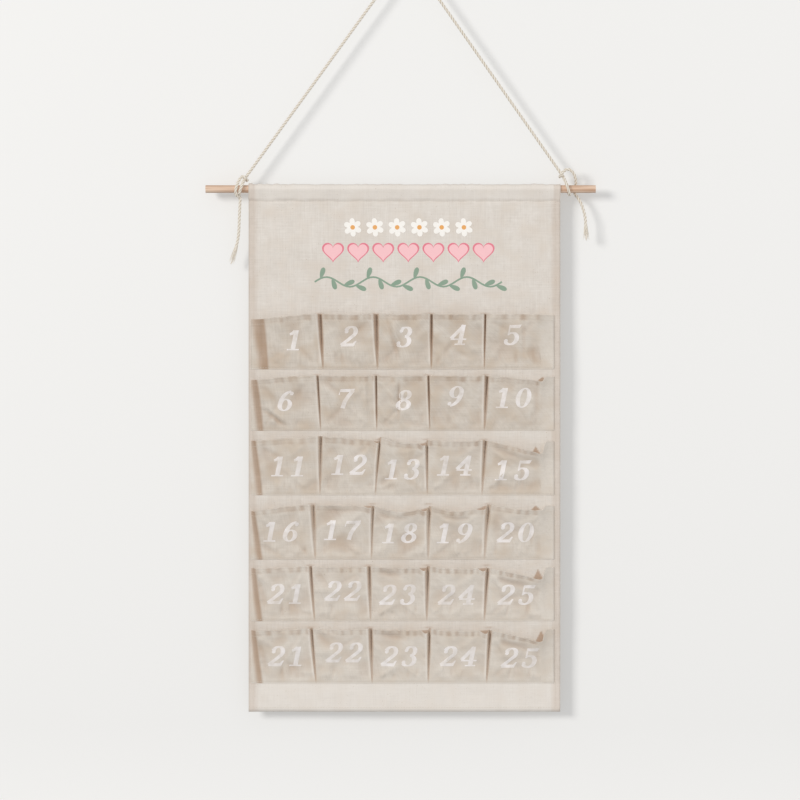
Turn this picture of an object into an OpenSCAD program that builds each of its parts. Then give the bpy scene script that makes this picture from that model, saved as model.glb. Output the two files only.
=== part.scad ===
// Countdown calendar: a canvas wall hanging with thirty sewn pockets, on a wooden dowel.
// Millimetres. The origin is the point that the cord hangs from, inside its bend.
// +X is to the right seen from the front, +Z is up and the printed side faces -Y.

/* [Canvas] */
// Thickness of one layer of canvas
cloth_t = 0.8; // [0.6:0.1:1.2]
// Width of the side hems, turned to the back
side_hem_w = 8; // [5:1:12]
// Height of the bottom hem, turned to the back
bottom_hem_h = 7; // [5:1:12]
// Height of the turned edge below the sleeve's seam, at the back
turned_edge_h = 6; // [4:1:10]
// Bare canvas to the left of the pocket strips
margin_left = 3; // [2:1:20]
// Bare canvas to the right of the pocket strips
margin_right = 8; // [2:1:20]
// Bare canvas below the lowest strip
margin_foot = 36; // [15:1:60]
// How far the panel's middle hangs to the right of the hanging point
panel_shift = -4; // [-10:1:4]

/* [Dowel] */
// Diameter of the wooden dowel
dowel_d = 10; // [8:0.5:14]
// Length of dowel that shows to the left of the canvas
dowel_left = 56; // [35:1:90]
// Length of dowel that shows to the right of the canvas
dowel_right = 46; // [40:1:90]
// Space between the dowel and the sleeve sewn round it
sleeve_clearance = 0.2; // [0.1:0.1:0.6]
// From the underside of the dowel to the seam that closes the sleeve
sleeve_slack = 11; // [8:1:20]

/* [Pockets] */
// Width of one pocket from fold to fold
pocket_w = 71; // [62:1:100]
// Height of one pocket from its foot to its mouth
pocket_h = 72; // [60:1:110]
// How far a pocket stands off the panel at its mouth
pocket_depth = 14; // [9:1:22]
// Bare canvas between one row and the next
row_gap = 10; // [8:1:25]
// Width of the gap between two pockets at the mouth
pleat_gap = 5; // [3:0.5:8]
// Width of the flattened pleat at the right end of a strip, at the mouth
end_pleat_w = 20; // [16:1:28]
// Width of the same pleat at the foot
end_pleat_foot = 17; // [12:1:24]
// Height of the strip's foot, sewn flat to the panel
foot_hem_h = 4; // [3:0.5:8]
// Height of the hem turned in at the mouth
mouth_hem_h = 7; // [4:0.5:12]
// Rounding of a pocket's front edges
fold_r = 3; // [1:0.5:4]

/* [Printed numbers] */
// Height of the printed numbers
number_h = 27; // [18:1:32]
// From the line of the top row's mouths to the middle of its numbers
number_drop = 31; // [28:1:40]
// Thickness that stands for the ink
ink_t = 0.2; // [0.1:0.05:0.4]

/* [Printed heading] */
// From the sleeve's seam to the daisies
heading_top = 22; // [10:1:60]
// Diameter of a daisy
daisy_d = 24; // [14:1:28]
// Space between two daisies
daisy_gap = 5; // [1:1:10]
// Diameter of a daisy's middle
daisy_eye_d = 6; // [5:0.5:9]
// Space between the bands of the heading
heading_gap = 8; // [3:1:20]
// Height of the row of hearts
heart_h = 26; // [14:1:30]
// Space between two hearts
heart_gap = 4; // [1:1:8]
// Width of a heart's outline
heart_line_w = 1.6; // [1:0.2:2.4]
// Height of the leafy vine
vine_h = 34; // [20:1:44]
// Length of the leafy vine
vine_l = 244; // [160:1:300]
// Width of the vine's stem
vine_w = 2.2; // [1:0.2:3]
// Length of one leaf
leaf_l = 15; // [8:1:20]
// From the heading to the mouths of the first row
heading_foot = 25; // [10:1:60]

/* [Cord] */
// Diameter of the twisted cotton cord
cord_d = 4; // [3:0.5:5]
// Space between the cord's turns and the dowel
knot_clearance = 0.15; // [0.1:0.05:0.5]
// Spread of the frayed ends
fray_d = 8; // [6:0.5:10]

/* [Hidden] */

canvas_color = [0.84, 0.80, 0.75];
wood_color = [0.84, 0.72, 0.62];
cotton_color = [0.93, 0.91, 0.87];
ink_white = [0.97, 0.96, 0.93];
ink_orange = [0.93, 0.62, 0.25];
ink_pink = [0.96, 0.75, 0.77];
ink_rose = [0.89, 0.50, 0.56];
ink_sage = [0.55, 0.65, 0.57];

// How the pockets are sewn and how they hang. Row one is the top row.
rows = 6;
columns = 5;
// Each row lies this much lower than an even pitch would put it
row_slip = [0, -2, 0, 2, 0, -1];
// The four folds between pockets, to the right of an even pitch, at the foot
fold_foot = [
    [3, 3, 2, 0],
    [0, 2, 0, 0],
    [-1, 0, -3, -3],
    [-7, -5, -2, 0],
    [-8, -6, -4, 0],
    [-6, -4, -2, 3]];
// How far each of the same folds leans to the right at the mouth
fold_lean = [
    [-4, -2, 0, 1],
    [-4, -1, -2, 3],
    [1, 6, -1, 4],
    [-3, 2, 1, 5],
    [-5, -2, 1, 4],
    [-6, -2, 1, 4]];
// Drop of each mouth below its row's line: left corner, middle, right corner
mouth_drop = [
    [[7, 3, 0], [0, 1, 0], [0, 1, 0], [0, 1, 0], [0, 1, 1]],
    [[6, 2, 0], [0, 1, 0], [0, 1, 0], [0, 1, 0], [1, 4, 8]],
    [[1, -2, -5], [-5, -2, 0], [-4, 4, 2], [0, 2, 0], [1, 7, 14]],
    [[9, 3, 0], [0, 1, 0], [2, 9, 3], [2, 9, 0], [0, 1, 3]],
    [[3, 1, 0], [0, 1, 0], [0, 1, 0], [0, 2, 1], [3, 8, 14]],
    [[3, 1, 0], [0, 1, 0], [0, 1, 0], [0, 2, 1], [3, 8, 14]]];
// Width of each row's left end pleat, at the foot and at the mouth
left_pleat = [[22, 17], [15, 8], [14, 6], [14, 5], [14, 6], [14, 6]];
// Each number is printed this much lower than number_drop says
number_slip = [
    [3, -2, -1, -4, -4],
    [2, -1, 1, -4, -2],
    [3, 1, 7, 2, 8],
    [4, 2, 6, 6, 5],
    [5, 1, 6, 6, 6],
    [5, 0, 5, 5, 7]];
// Middle of each number, to the right of its pocket's middle
number_shift = [
    [2, 1, 1, 1, -1],
    [-4, -3, 2, -2, 0],
    [0, 0, 0, -1, 0],
    [-6, -2, -1, -4, 3],
    [2, 3, 0, 1, 4],
    [2, 3, 0, 1, 7]];

// From the hanging point down to the dowel's axis, as the cord's points below have it
hang_drop = 298;
// Sizes that follow from the ones above
dowel_r = dowel_d / 2;
cord_r = cord_d / 2;
sleeve_r = dowel_r + sleeve_clearance;
seam_z = -hang_drop - dowel_r - sleeve_slack;
daisy_z = seam_z - heading_top - daisy_d / 2;
heart_z = daisy_z - daisy_d / 2 - heading_gap - heart_h / 2;
vine_z = heart_z - heart_h / 2 - heading_gap - vine_h / 2;
first_mouth_z = vine_z - vine_h / 2 - heading_foot;
row_pitch = pocket_h + row_gap;
panel_foot = first_mouth_z - (rows - 1) * row_pitch - pocket_h - margin_foot;
strip_w = columns * pocket_w + 2 * end_pleat_w;
panel_w = margin_left + strip_w + margin_right;
panel_left = panel_shift - panel_w / 2;
strip_left = panel_left + margin_left;
front_y = -cloth_t / 2;
dowel_len = dowel_left + panel_w + dowel_right;
// The heading is printed a little to the right of the panel's middle
heading_offset = 5;
heading_x = panel_shift + heading_offset;

function mix(a, b, s) = a + (b - a) * s;
function arc(c, rx, ry, from, to, steps = 9) =
    [for (i = [0:steps]) let (a = mix(from, to, i / steps)) c + [rx * cos(a), ry * sin(a)]];

// The panel

// Section through the sleeve: a loop round the dowel whose straight sides meet at its foot
function loop_points(r, foot) =
    let (touch = acos(r / foot))
    concat([[0, -foot]], arc([0, 0], r, r, touch - 90, 270 - touch, 48));

module back_panel() color(canvas_color) {
    loop_foot = -hang_drop - seam_z;
    // The sleeve, in the plane across the dowel
    translate([panel_left, 0, -hang_drop]) rotate([90, 0, 90]) linear_extrude(panel_w)
        difference() {
            polygon(loop_points(sleeve_r + cloth_t, loop_foot + 2 * cloth_t));
            polygon(loop_points(sleeve_r, loop_foot - 2 * cloth_t));
        }
    // The turned edge sewn below the sleeve's seam, and the panel itself
    translate([panel_left, front_y, seam_z - turned_edge_h])
        cube([panel_w, 2 * cloth_t, turned_edge_h + cloth_t]);
    translate([panel_left, front_y, panel_foot])
        cube([panel_w, cloth_t, seam_z - panel_foot]);
    // Hems, one more layer at the back
    translate([panel_left, front_y, panel_foot])
        cube([panel_w, 2 * cloth_t, bottom_hem_h]);
    for (x = [panel_left, panel_left + panel_w - side_hem_w])
        translate([x, front_y, panel_foot])
            cube([side_hem_w, 2 * cloth_t, seam_z - panel_foot]);
}

module dowel() color(wood_color)
    translate([panel_left - dowel_left, 0, -hang_drop]) rotate([0, 90, 0])
        cylinder(h = dowel_len, d = dowel_d, $fn = 96);

// The pocket strips: each is one pleated piece of canvas, sewn down at its folds and its foot

function mouth_z(row) = first_mouth_z - row * row_pitch - row_slip[row];
function foot_z(row) = mouth_z(row) - pocket_h;

// Stand-off of a pocket's front above the panel: the same slope at every height
foot_depth = 2 * cloth_t;
front_slope = (pocket_depth - foot_depth) / (pocket_h - foot_hem_h);
function front_depth(rise) = foot_depth + front_slope * max(0, rise - foot_hem_h);

// Fold number k of a row, with 0 and 5 at the strip's ends; high is 0 at the foot, 1 at the mouth
function fold_x(row, k, high) =
    k == 0 ? strip_left :
    k == columns ? strip_left + strip_w :
    strip_left + end_pleat_w + k * pocket_w + fold_foot[row][k - 1]
        + fold_lean[row][k - 1] * high;
function fold_side(row, k, high) =
    k == 0 ? mix(left_pleat[row][0], left_pleat[row][1], high) :
    k == columns ? mix(end_pleat_foot, end_pleat_w, high) :
    mix(0.5, pleat_gap / 2, high);

// Drop of a mouth at share s of its width, through its three given heights
function drop_at(drops, s) =
    drops[0] * (1 - s) * (1 - 2 * s) + drops[1] * 4 * s * (1 - s) + drops[2] * s * (2 * s - 1);

// Levels of a strip: height above the foot, layers of canvas, and whether it is open there
open_rise = 3;
hem_step = 0.5;
levels = [
    [0, 1, false],
    [foot_hem_h, 1, false],
    [foot_hem_h + open_rise, 1, true],
    [mix(foot_hem_h, pocket_h, 0.35), 1, true],
    [mix(foot_hem_h, pocket_h, 0.65), 1, true],
    [pocket_h - mouth_hem_h - hem_step, 1, true],
    [pocket_h - mouth_hem_h, 2, true],
    [pocket_h, 2, true]];

// One fold edge of a pocket: three points that round the corner, on the side that way points
function edge_points(x, side, way, depth, round_x) =
    let (r = min(fold_r, 0.6 * depth), rx = max(r, round_x))
    [[x + way * side, r - depth],
        [x + way * (side + 0.3 * rx), 0.3 * r - depth],
        [x + way * (side + rx), -depth]];

// Points across one pocket at a height: [x, stand-off, drop of the mouth there]
face_steps = 6;
function pocket_line(row, k, high, depth, wall) =
    let (
        drops = mouth_drop[row][k],
        x0 = fold_x(row, k, high),
        x1 = fold_x(row, k + 1, high),
        left = edge_points(x0, fold_side(row, k, high) + wall, 1, depth, 0.5),
        right = edge_points(x1, fold_side(row, k + 1, high) + wall, -1, depth, 0.5),
        start = left[2].x,
        end = right[2].x)
    concat(
        [for (p = left) [p.x, p.y, drops[0]]],
        [for (i = [1:face_steps - 1]) let (s = i / face_steps)
            [mix(start, end, s), -depth, drop_at(drops, s)]],
        [for (i = [2, 1, 0]) [right[i].x, right[i].y, drops[2]]]);

function fold_drop(row, k) =
    k == 0 ? mouth_drop[row][0][0] :
    k == columns ? mouth_drop[row][columns - 1][2] :
    (mouth_drop[row][k - 1][2] + mouth_drop[row][k][0]) / 2;

// One whole level: fold, pocket, fold, pocket and so on to the far end
function strip_line(row, high, depth, wall, fold_depth) = [
    for (k = [0:columns], p = concat(
        [[fold_x(row, k, high), -fold_depth, fold_drop(row, k)]],
        k < columns ? pocket_line(row, k, high, depth, wall) : []))
    p];

// Places a level's points: a mouth's drop fades out towards the foot
function placed(row, rise, line) =
    [for (p = line) [p.x, front_y + p.y, foot_z(row) + rise - p.z * pow(rise / pocket_h, 2)]];

// The front of the canvas keeps to one slope, so its drop moves it along that slope
function on_slope(rise, line, full) =
    [for (p = line) let (lost = front_slope * p.z * pow(rise / pocket_h, 2))
        [p.x, p.y + (p.y < -full ? lost * min(1, -p.y / front_depth(rise)) : 0), p.z]];

function outer_level(row, level) =
    let (rise = level[0], high = rise / pocket_h)
    placed(row, rise, on_slope(rise,
        strip_line(row, high, front_depth(rise), 0, cloth_t), cloth_t));

function inner_level(row, level) =
    let (rise = level[0], high = rise / pocket_h, wall = level[1] * cloth_t)
    placed(row, rise, on_slope(rise,
        strip_line(row, high, level[2] ? front_depth(rise) - wall : 0, wall, 0), cloth_t));

// Closed skin over two grids of points, the first in front of the second
function grid_faces(nu, nv) =
    let (back = nu * nv)
    concat(
        [for (i = [0:nv - 2], j = [0:nu - 2]) let (a = i * nu + j, b = a + 1, d = a + nu, c = d + 1)
            each [[a, d, c], [a, c, b], [a + back, b + back, c + back],
                [a + back, c + back, d + back]]],
        [for (j = [0:nu - 2]) let (a = j, b = j + 1)
            each [[a, b, b + back], [a, b + back, a + back]]],
        [for (j = [0:nu - 2]) let (d = (nv - 1) * nu + j, c = d + 1)
            each [[c, d, d + back], [c, d + back, c + back]]],
        [for (i = [0:nv - 2]) let (a = i * nu, d = a + nu)
            each [[d, a, a + back], [d, a + back, d + back]]],
        [for (i = [0:nv - 2]) let (b = i * nu + nu - 1, c = b + nu)
            each [[b, c, c + back], [b, c + back, b + back]]]);

module pocket_row(row) color(canvas_color) {
    outer = [for (level = levels) outer_level(row, level)];
    inner = [for (level = levels) inner_level(row, level)];
    polyhedron([for (grid = [outer, inner], line = grid) each line],
        grid_faces(len(outer[0]), len(levels)), convexity = 10);
}

// The numbers: digits of a broad pen, in a box one unit high, leaning to the right

digit_lean = 0.2;
digit_w = 0.8;
digit_step = 0.96;
broad = 0.22;
fine = 0.06;
ball_r = 0.095;

function heading(p, i) =
    let (d = p[min(i + 1, len(p) - 1)] - p[max(i - 1, 0)]) atan2(d.y, d.x);
function stroke_side(p, way) =
    [for (i = [0:len(p) - 1]) let (a = heading(p, i), w = mix(fine, broad, abs(sin(a))))
        p[i] + way * w / 2 * [-sin(a), cos(a)]];
function reversed(p) = [for (i = [len(p) - 1:-1:0]) p[i]];
function stroke(p) = concat(stroke_side(p, 1), reversed(stroke_side(p, -1)));
function ring_out(c, rx, ry) = arc(c, rx + broad / 2, ry + fine / 2, 0, 345, 23);
function ring_in(c, rx, ry) = arc(c, rx - broad / 2, ry - fine / 2, 0, 345, 23);

// A digit's outlines: [shapes that are inked, shapes cut out of them]
function bar(x0, x1, y, w) = [[x0, y - w / 2], [x1, y - w / 2], [x1, y + w / 2], [x0, y + w / 2]];
function ring(c, rx, ry) = [[ring_out(c, rx, ry)], [ring_in(c, rx, ry)]];
function ball(c) = arc(c, ball_r, ball_r, 0, 330, 11);
six_eye = [0.4, 0.3];
six = [
    [ring_out(six_eye, 0.24, 0.27), stroke(arc([0.66, 0.34], 0.5, 0.63, 98, 178, 8)),
        ball([0.63, 0.86])],
    [ring_in(six_eye, 0.24, 0.27)]];
function turned(shapes) = [for (p = shapes) [for (q = p) [digit_w, 1] - q]];
digits = [
    ring([0.4, 0.5], 0.26, 0.46),
    [[bar(0.3, 0.3 + broad, 0.5, 0.96), stroke([[0.12, 0.78], [0.24, 0.83], [0.34, 0.94]]),
        bar(0.12, 0.7, 0.035, 0.07)], []],
    [[stroke(concat(arc([0.4, 0.71], 0.24, 0.25, 165, -32), [[0.36, 0.34], [0.06, 0.06]])),
        ball([0.2, 0.73]),
        [[0.03, 0], [0.68, 0], [0.78, 0.28], [0.7, 0.28], [0.6, 0.15], [0.2, 0.15]]], []],
    [[stroke(arc([0.37, 0.75], 0.23, 0.22, 150, -85)), ball([0.18, 0.8]),
        stroke(arc([0.37, 0.28], 0.28, 0.25, 85, -150, 12)), ball([0.15, 0.2])], []],
    [[bar(0.42, 0.42 + broad, 0.5, 0.96), stroke([[0.56, 0.95], [0.06, 0.31]]),
        bar(0.05, 0.8, 0.28, 0.08), bar(0.28, 0.78, 0.035, 0.07)], []],
    [[[[0.2, 0.82], [0.68, 0.82], [0.76, 1], [0.2, 0.96]],
        bar(0.17, 0.25, 0.72, 0.5),
        stroke(arc([0.37, 0.31], 0.28, 0.28, 125, -150, 12)), ball([0.15, 0.2])], []],
    six,
    [[[[0.08, 0.82], [0.74, 0.82], [0.77, 0.98], [0.08, 0.96], [0.03, 0.68], [0.1, 0.68]],
        stroke([[0.7, 0.9], [0.52, 0.62], [0.4, 0.36], [0.35, 0.02]])], []],
    [[ring_out([0.4, 0.75], 0.2, 0.22), ring_out([0.4, 0.27], 0.26, 0.24)],
        [ring_in([0.4, 0.75], 0.2, 0.2), ring_in([0.4, 0.27], 0.26, 0.2)]],
    [turned(six[0]), turned(six[1])]];

module inked(shapes)
    for (p = shapes)
        polygon([for (q = p) number_h * [q.x - digit_w / 2 + digit_lean * (q.y - 0.5), q.y - 0.5]]);

module digit(value)
    difference() {
        inked(digits[value][0]);
        inked(digits[value][1]);
    }

function number_on(row, k) = min(row, rows - 2) * columns + k + 1;
function pocket_middle(row, k) =
    (fold_x(row, k, 0.5) + fold_side(row, k, 0.5)
        + fold_x(row, k + 1, 0.5) - fold_side(row, k + 1, 0.5)) / 2;

module numbers_row(row) color(ink_white)
    for (k = [0:columns - 1]) {
        value = number_on(row, k);
        rise = pocket_h - number_drop - number_slip[row][k];
        tens = floor(value / 10);
        shift = tens > 0 ? digit_step * number_h / 2 : 0;
        translate([pocket_middle(row, k) + number_shift[row][k], front_y - front_depth(rise),
                foot_z(row) + rise])
            rotate([90 + atan(front_slope), 0, 0]) {
                translate([shift, 0, 0]) linear_extrude(ink_t) digit(value % 10);
                if (tens > 0)
                    translate([-shift, 0, 0]) linear_extrude(ink_t) digit(tens);
            }
    }

// The heading: daisies, hearts and a leafy vine, printed on the panel

daisies = 6;
petals = 6;
hearts_in_row = 7;

module on_panel(z) translate([heading_x, front_y, z]) rotate([90, 0, 0]) linear_extrude(ink_t)
    children();

module in_row(count, step)
    for (i = [0:count - 1]) translate([(i - (count - 1) / 2) * step, 0]) children();

// One petal from the daisy's middle outwards, narrow at its root and round at its tip
function petal(length, width) =
    [for (i = [0:20]) let (a = i * 360 / 21, along = (1 - cos(a)) / 2)
        [length * along, width / 2 * sin(a) * (0.55 + 0.45 * along)]];

module daisy_petals() color(ink_white) on_panel(daisy_z) in_row(daisies, daisy_d + daisy_gap)
    difference() {
        for (i = [0:petals - 1]) rotate(35 + i * 360 / petals)
            polygon(petal(daisy_d / 2, daisy_d * 0.36));
        circle(d = daisy_eye_d, $fn = 48);
    }

module daisy_eyes() color(ink_orange) on_panel(daisy_z) in_row(daisies, daisy_d + daisy_gap)
    circle(d = daisy_eye_d, $fn = 48);

// A heart of the given height round its middle
function heart(height) =
    [for (i = [0:35]) let (a = i * 10)
        height / 29 * [16 * pow(sin(a), 3),
            13 * cos(a) - 5 * cos(2 * a) - 2 * cos(3 * a) - cos(4 * a) + 2.5]];
heart_step = heart_h * 32 / 29 + heart_gap;
heart_fill_h = heart_h - 2.4 * heart_line_w;

module hearts() color(ink_pink) on_panel(heart_z) in_row(hearts_in_row, heart_step)
    polygon(heart(heart_fill_h));

module heart_outlines() color(ink_rose) on_panel(heart_z) in_row(hearts_in_row, heart_step)
    difference() {
        polygon(heart(heart_h));
        polygon(heart(heart_fill_h));
    }

// The vine: a waving stem with a leaf on each side of every bend
waves = 4;
leaves_on_wave = 4;
stem_steps = 64;
stem_swing = (vine_h - leaf_l) / 3;
function stem_point(s) = [(s - 0.5) * vine_l, stem_swing * sin(waves * 360 * s)];
function stem_turn(s) =
    let (d = stem_point(s + 0.005) - stem_point(s - 0.005)) atan2(d.y, d.x);
function stem_side(way) =
    [for (i = [0:stem_steps]) let (s = i / stem_steps, a = stem_turn(s))
        stem_point(s) + way * vine_w / 2 * [-sin(a), cos(a)]];
function leaf(length) =
    [for (i = [0:15]) let (a = i * 360 / 16)
        [length * (1 - cos(a)) / 2, length * 0.2 * sin(a) * (1 - 0.35 * cos(a))]];

module leaf_vine() color(ink_sage) on_panel(vine_z) {
    polygon(concat(stem_side(1), reversed(stem_side(-1))));
    count = waves * leaves_on_wave;
    for (i = [0:count - 1]) {
        s = (i + 0.5) / count;
        way = i % 2 == 0 ? 1 : -1;
        translate(stem_point(s)) rotate(stem_turn(s) + way * 48) polygon(leaf(leaf_l));
    }
}

// The cord: two taut legs over the hanging point, tied round the dowel at both ends

// Middle of the cord, from the left knot over the hanging point to the right knot
cord_route = [[-211, 0, -283], [-160, 0, -212.7], [-109, 0, -142.5], [-58, 0, -72.2],
    [-6.5, 0, -1.3], [-4.7, 0, 0.5], [-2.5, 0, 1.6], [0, 0, 2], [2.5, 0, 1.6], [4.7, 0, 0.5],
    [6.5, 0, -1.4], [56, 0, -72.1], [105, 0, -142], [154, 0, -212], [203, 0, -282]];
// Middle of the cut ends below the knots
tail_left_route = [[-218, 0, -309], [-219, -1, -334], [-221, -1, -364], [-230, -1, -396]];
tail_right_route = [[218, 6, -304], [222, 4.6, -309], [227, 3, -318], [231, 1, -332],
    [232, 0, -342], [233, 0, -365]];
// Where the frayed part of a cut end begins, as a share of its length
fray_left = 0.64;
fray_right = 0.6;

leg_step = 12;
tail_step = 12;
cord_sides = 8;

function part_steps(a, b, step) = max(1, ceil(norm(b - a) / step - 0.001));
function filled(route, step) = concat(
    [for (i = [0:len(route) - 2], j = [0:part_steps(route[i], route[i + 1], step) - 1])
        mix(route[i], route[i + 1], j / part_steps(route[i], route[i + 1], step))],
    [route[len(route) - 1]]);
function unit(v) = v / norm(v);
function direction(p, i) = unit(p[min(i + 1, len(p) - 1)] - p[max(i - 1, 0)]);

// Rings of a tube along points, with its radius at each of them
function ring_points(p, radii) =
    [for (i = [0:len(p) - 1])
        let (d = direction(p, i), u = unit(cross(d, [0, 1, 0])), v = cross(d, u))
        for (j = [0:cord_sides - 1]) let (a = (j + 0.5) * 360 / cord_sides)
            p[i] + radii[i] * (u * cos(a) + v * sin(a))];

module tube(p, radii) {
    n = cord_sides;
    last = (len(p) - 1) * n;
    polyhedron(ring_points(p, radii), concat(
        [[for (j = [0:n - 1]) j]],
        [[for (j = [n - 1:-1:0]) last + j]],
        [for (i = [0:len(p) - 2], j = [0:n - 1])
            let (a = i * n + j, b = i * n + (j + 1) % n, c = b + n, d = a + n)
            each [[a, d, c], [a, c, b]]]), convexity = 6);
}

function fray_r(s, from) =
    s < from ? cord_r : mix(cord_r, fray_d / 2, min(1, (s - from) / (1 - from)));

module hanging_cord() color(cotton_color) {
    p = filled(cord_route, leg_step);
    tube(p, [for (q = p) cord_r]);
}

module tail(route, from) color(cotton_color) {
    p = filled(route, tail_step);
    tube(p, [for (i = [0:len(p) - 1]) fray_r(i / (len(p) - 1), from)]);
}

// One turn of the cord round the dowel, turned about the upright
module turn(x, yaw) {
    turn_r = (dowel_r + knot_clearance + cord_r) / cos(yaw);
    translate([x, 0, -hang_drop]) rotate([0, 0, yaw]) rotate([0, 90, 0])
        rotate_extrude($fn = 64) translate([turn_r, 0]) circle(cord_r, $fn = 24);
}

// A straight bit of cord from one point to another
module strand(a, b) {
    d = b - a;
    translate(a) rotate([0, acos(d.z / norm(d)), atan2(d.y, d.x)])
        cylinder(h = norm(d), r = cord_r, $fn = 24);
}

turn_reach = dowel_r + knot_clearance + cord_r;
turn_space = 0.95 * cord_d;
// Middle of the left knot, the right knot's first turn, and how its second one is turned
knot_left_x = -218;
knot_right_x = 209;
knot_right_yaw = -18;
// A leg leans this far inwards between its knot and its first point
leg_lean = 5;

module knot_left() color(cotton_color) {
    leg = cord_route[0];
    turn(knot_left_x - turn_space / 2, 0);
    turn(knot_left_x + turn_space / 2, 0);
    strand([leg.x - leg_lean, 0, -hang_drop + turn_reach], leg);
    strand([knot_left_x, 0, -hang_drop - turn_reach], tail_left_route[0]);
}

module knot_right() color(cotton_color) {
    leg = cord_route[len(cord_route) - 1];
    tail = tail_right_route[0];
    turn(knot_right_x, 0);
    turn(knot_right_x + 1.4 * cord_d, knot_right_yaw);
    strand([leg.x + leg_lean, 0, -hang_drop + turn_reach], leg);
    strand(tail + [-3.5, 1.2, 4.4], tail);
}

module tail_left() tail(tail_left_route, fray_left);
module tail_right() tail(tail_right_route, fray_right);

module pocket_row_1() pocket_row(0);
module pocket_row_2() pocket_row(1);
module pocket_row_3() pocket_row(2);
module pocket_row_4() pocket_row(3);
module pocket_row_5() pocket_row(4);
module pocket_row_6() pocket_row(5);
module numbers_row_1() numbers_row(0);
module numbers_row_2() numbers_row(1);
module numbers_row_3() numbers_row(2);
module numbers_row_4() numbers_row(3);
module numbers_row_5() numbers_row(4);
module numbers_row_6() numbers_row(5);

dowel();
back_panel();
pocket_row_1();
pocket_row_2();
pocket_row_3();
pocket_row_4();
pocket_row_5();
pocket_row_6();
numbers_row_1();
numbers_row_2();
numbers_row_3();
numbers_row_4();
numbers_row_5();
numbers_row_6();
daisy_petals();
daisy_eyes();
hearts();
heart_outlines();
leaf_vine();
hanging_cord();
knot_left();
knot_right();
tail_left();
tail_right();
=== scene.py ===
# The looks of a countdown calendar: canvas pockets on a wooden dowel, hung by a cotton cord.
# Metres. The origin is the point that the cord hangs from, and the printed side faces -Y.
import math
import random

import bmesh
import bpy
import numpy as np
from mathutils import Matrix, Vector
from mathutils.bvhtree import BVHTree


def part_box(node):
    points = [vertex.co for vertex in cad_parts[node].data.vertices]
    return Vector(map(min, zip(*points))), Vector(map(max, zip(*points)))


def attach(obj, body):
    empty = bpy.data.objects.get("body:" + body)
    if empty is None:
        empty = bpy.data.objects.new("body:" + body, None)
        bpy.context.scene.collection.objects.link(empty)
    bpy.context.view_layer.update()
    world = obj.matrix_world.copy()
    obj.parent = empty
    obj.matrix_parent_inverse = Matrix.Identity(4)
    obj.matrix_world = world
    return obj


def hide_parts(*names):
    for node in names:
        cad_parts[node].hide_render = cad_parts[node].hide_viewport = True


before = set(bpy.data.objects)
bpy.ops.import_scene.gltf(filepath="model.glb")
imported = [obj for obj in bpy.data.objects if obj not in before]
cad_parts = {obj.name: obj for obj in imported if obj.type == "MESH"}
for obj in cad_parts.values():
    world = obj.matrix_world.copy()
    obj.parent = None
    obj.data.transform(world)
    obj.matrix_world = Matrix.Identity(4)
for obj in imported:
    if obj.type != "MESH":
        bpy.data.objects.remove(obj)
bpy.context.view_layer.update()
mm = 0.001
scene = bpy.context.scene
print("frame loaded:", len(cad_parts), "CAD nodes")

# Camera, light and backdrop

camera = {
    "aimX": -9.8, "aimBelowDowel": 274.9,  # what stands at the middle of the picture, mm
    "widthSeen": 1042.4,  # mm across the picture at the panel
    "lens": 110, "sensor": 36,
}
studio = {
    "wallY": 18,  # mm behind the dowel's axis
    "wallWidth": 9.0, "wallTop": 2.4, "floorZ": -1.5, "floorReach": 5.0, "coveRadius": 0.5,
    "wallColor": (0.89, 0.888, 0.88), "worldLight": 0.46,
}
lamps = {
    "keyLamp": {"place": (-4.2, -3.9, 1.15), "size": 1.7, "power": 160,
                "tint": (1, 0.985, 0.96), "shadow": True},
    "formLamp": {"place": (4.3, -4.0, 0.6), "size": 1.8, "power": 122,
                 "tint": (1, 0.99, 0.975), "shadow": False},
}
dowelLow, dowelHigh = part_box("dowel")
dowelZ = (dowelLow.z + dowelHigh.z) / 2 / mm
dowelRadius = (dowelHigh.z - dowelLow.z) / 2 / mm
aim = Vector((camera["aimX"] * mm, 0, (dowelZ - camera["aimBelowDowel"]) * mm))
cameraData = bpy.data.cameras.new("frontCamera")
cameraData.lens = camera["lens"]
cameraData.sensor_width = camera["sensor"]
cameraData.clip_end = 40
cameraObject = bpy.data.objects.new("frontCamera", cameraData)
cameraObject.location = aim + Vector(
    (0, -camera["lens"] / camera["sensor"] * camera["widthSeen"] * mm, 0))
cameraObject.rotation_euler = (math.pi / 2, 0, 0)
scene.collection.objects.link(cameraObject)
scene.camera = cameraObject
for lampName, lamp in lamps.items():
    lampData = bpy.data.lights.new(lampName, "AREA")
    lampData.size = lamp["size"]
    lampData.energy = lamp["power"]
    lampData.color = lamp["tint"]
    lampData.use_shadow = lamp["shadow"]
    lampObject = bpy.data.objects.new(lampName, lampData)
    lampObject.location = lamp["place"]
    toAim = aim - Vector(lamp["place"])
    lampObject.rotation_euler = toAim.to_track_quat("-Z", "Y").to_euler()
    scene.collection.objects.link(lampObject)
world = bpy.data.worlds.new("studioWorld")
world.use_nodes = True
worldShade = world.node_tree.nodes["Background"]
worldShade.inputs["Color"].default_value = (1, 1, 1, 1)
worldShade.inputs["Strength"].default_value = studio["worldLight"]
scene.world = world
scene.view_settings.view_transform = "Standard"
scene.view_settings.look = "None"


# Shader helpers

def feed(tree, sockets, values):
    # Each value is a number, a colour or another node's socket; None leaves the input as it is
    for socket, value in zip(sockets, values):
        if isinstance(value, bpy.types.NodeSocket):
            tree.links.new(value, socket)
        elif value is not None:
            socket.default_value = value


def addNode(tree, kind, where, inputs=None, **settings):
    node = tree.nodes.new("ShaderNode" + kind)
    node.location = where
    for name, value in settings.items():
        setattr(node, name, value)
    inputs = inputs or {}
    feed(tree, [node.inputs[name] for name in inputs], inputs.values())
    return node


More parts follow.
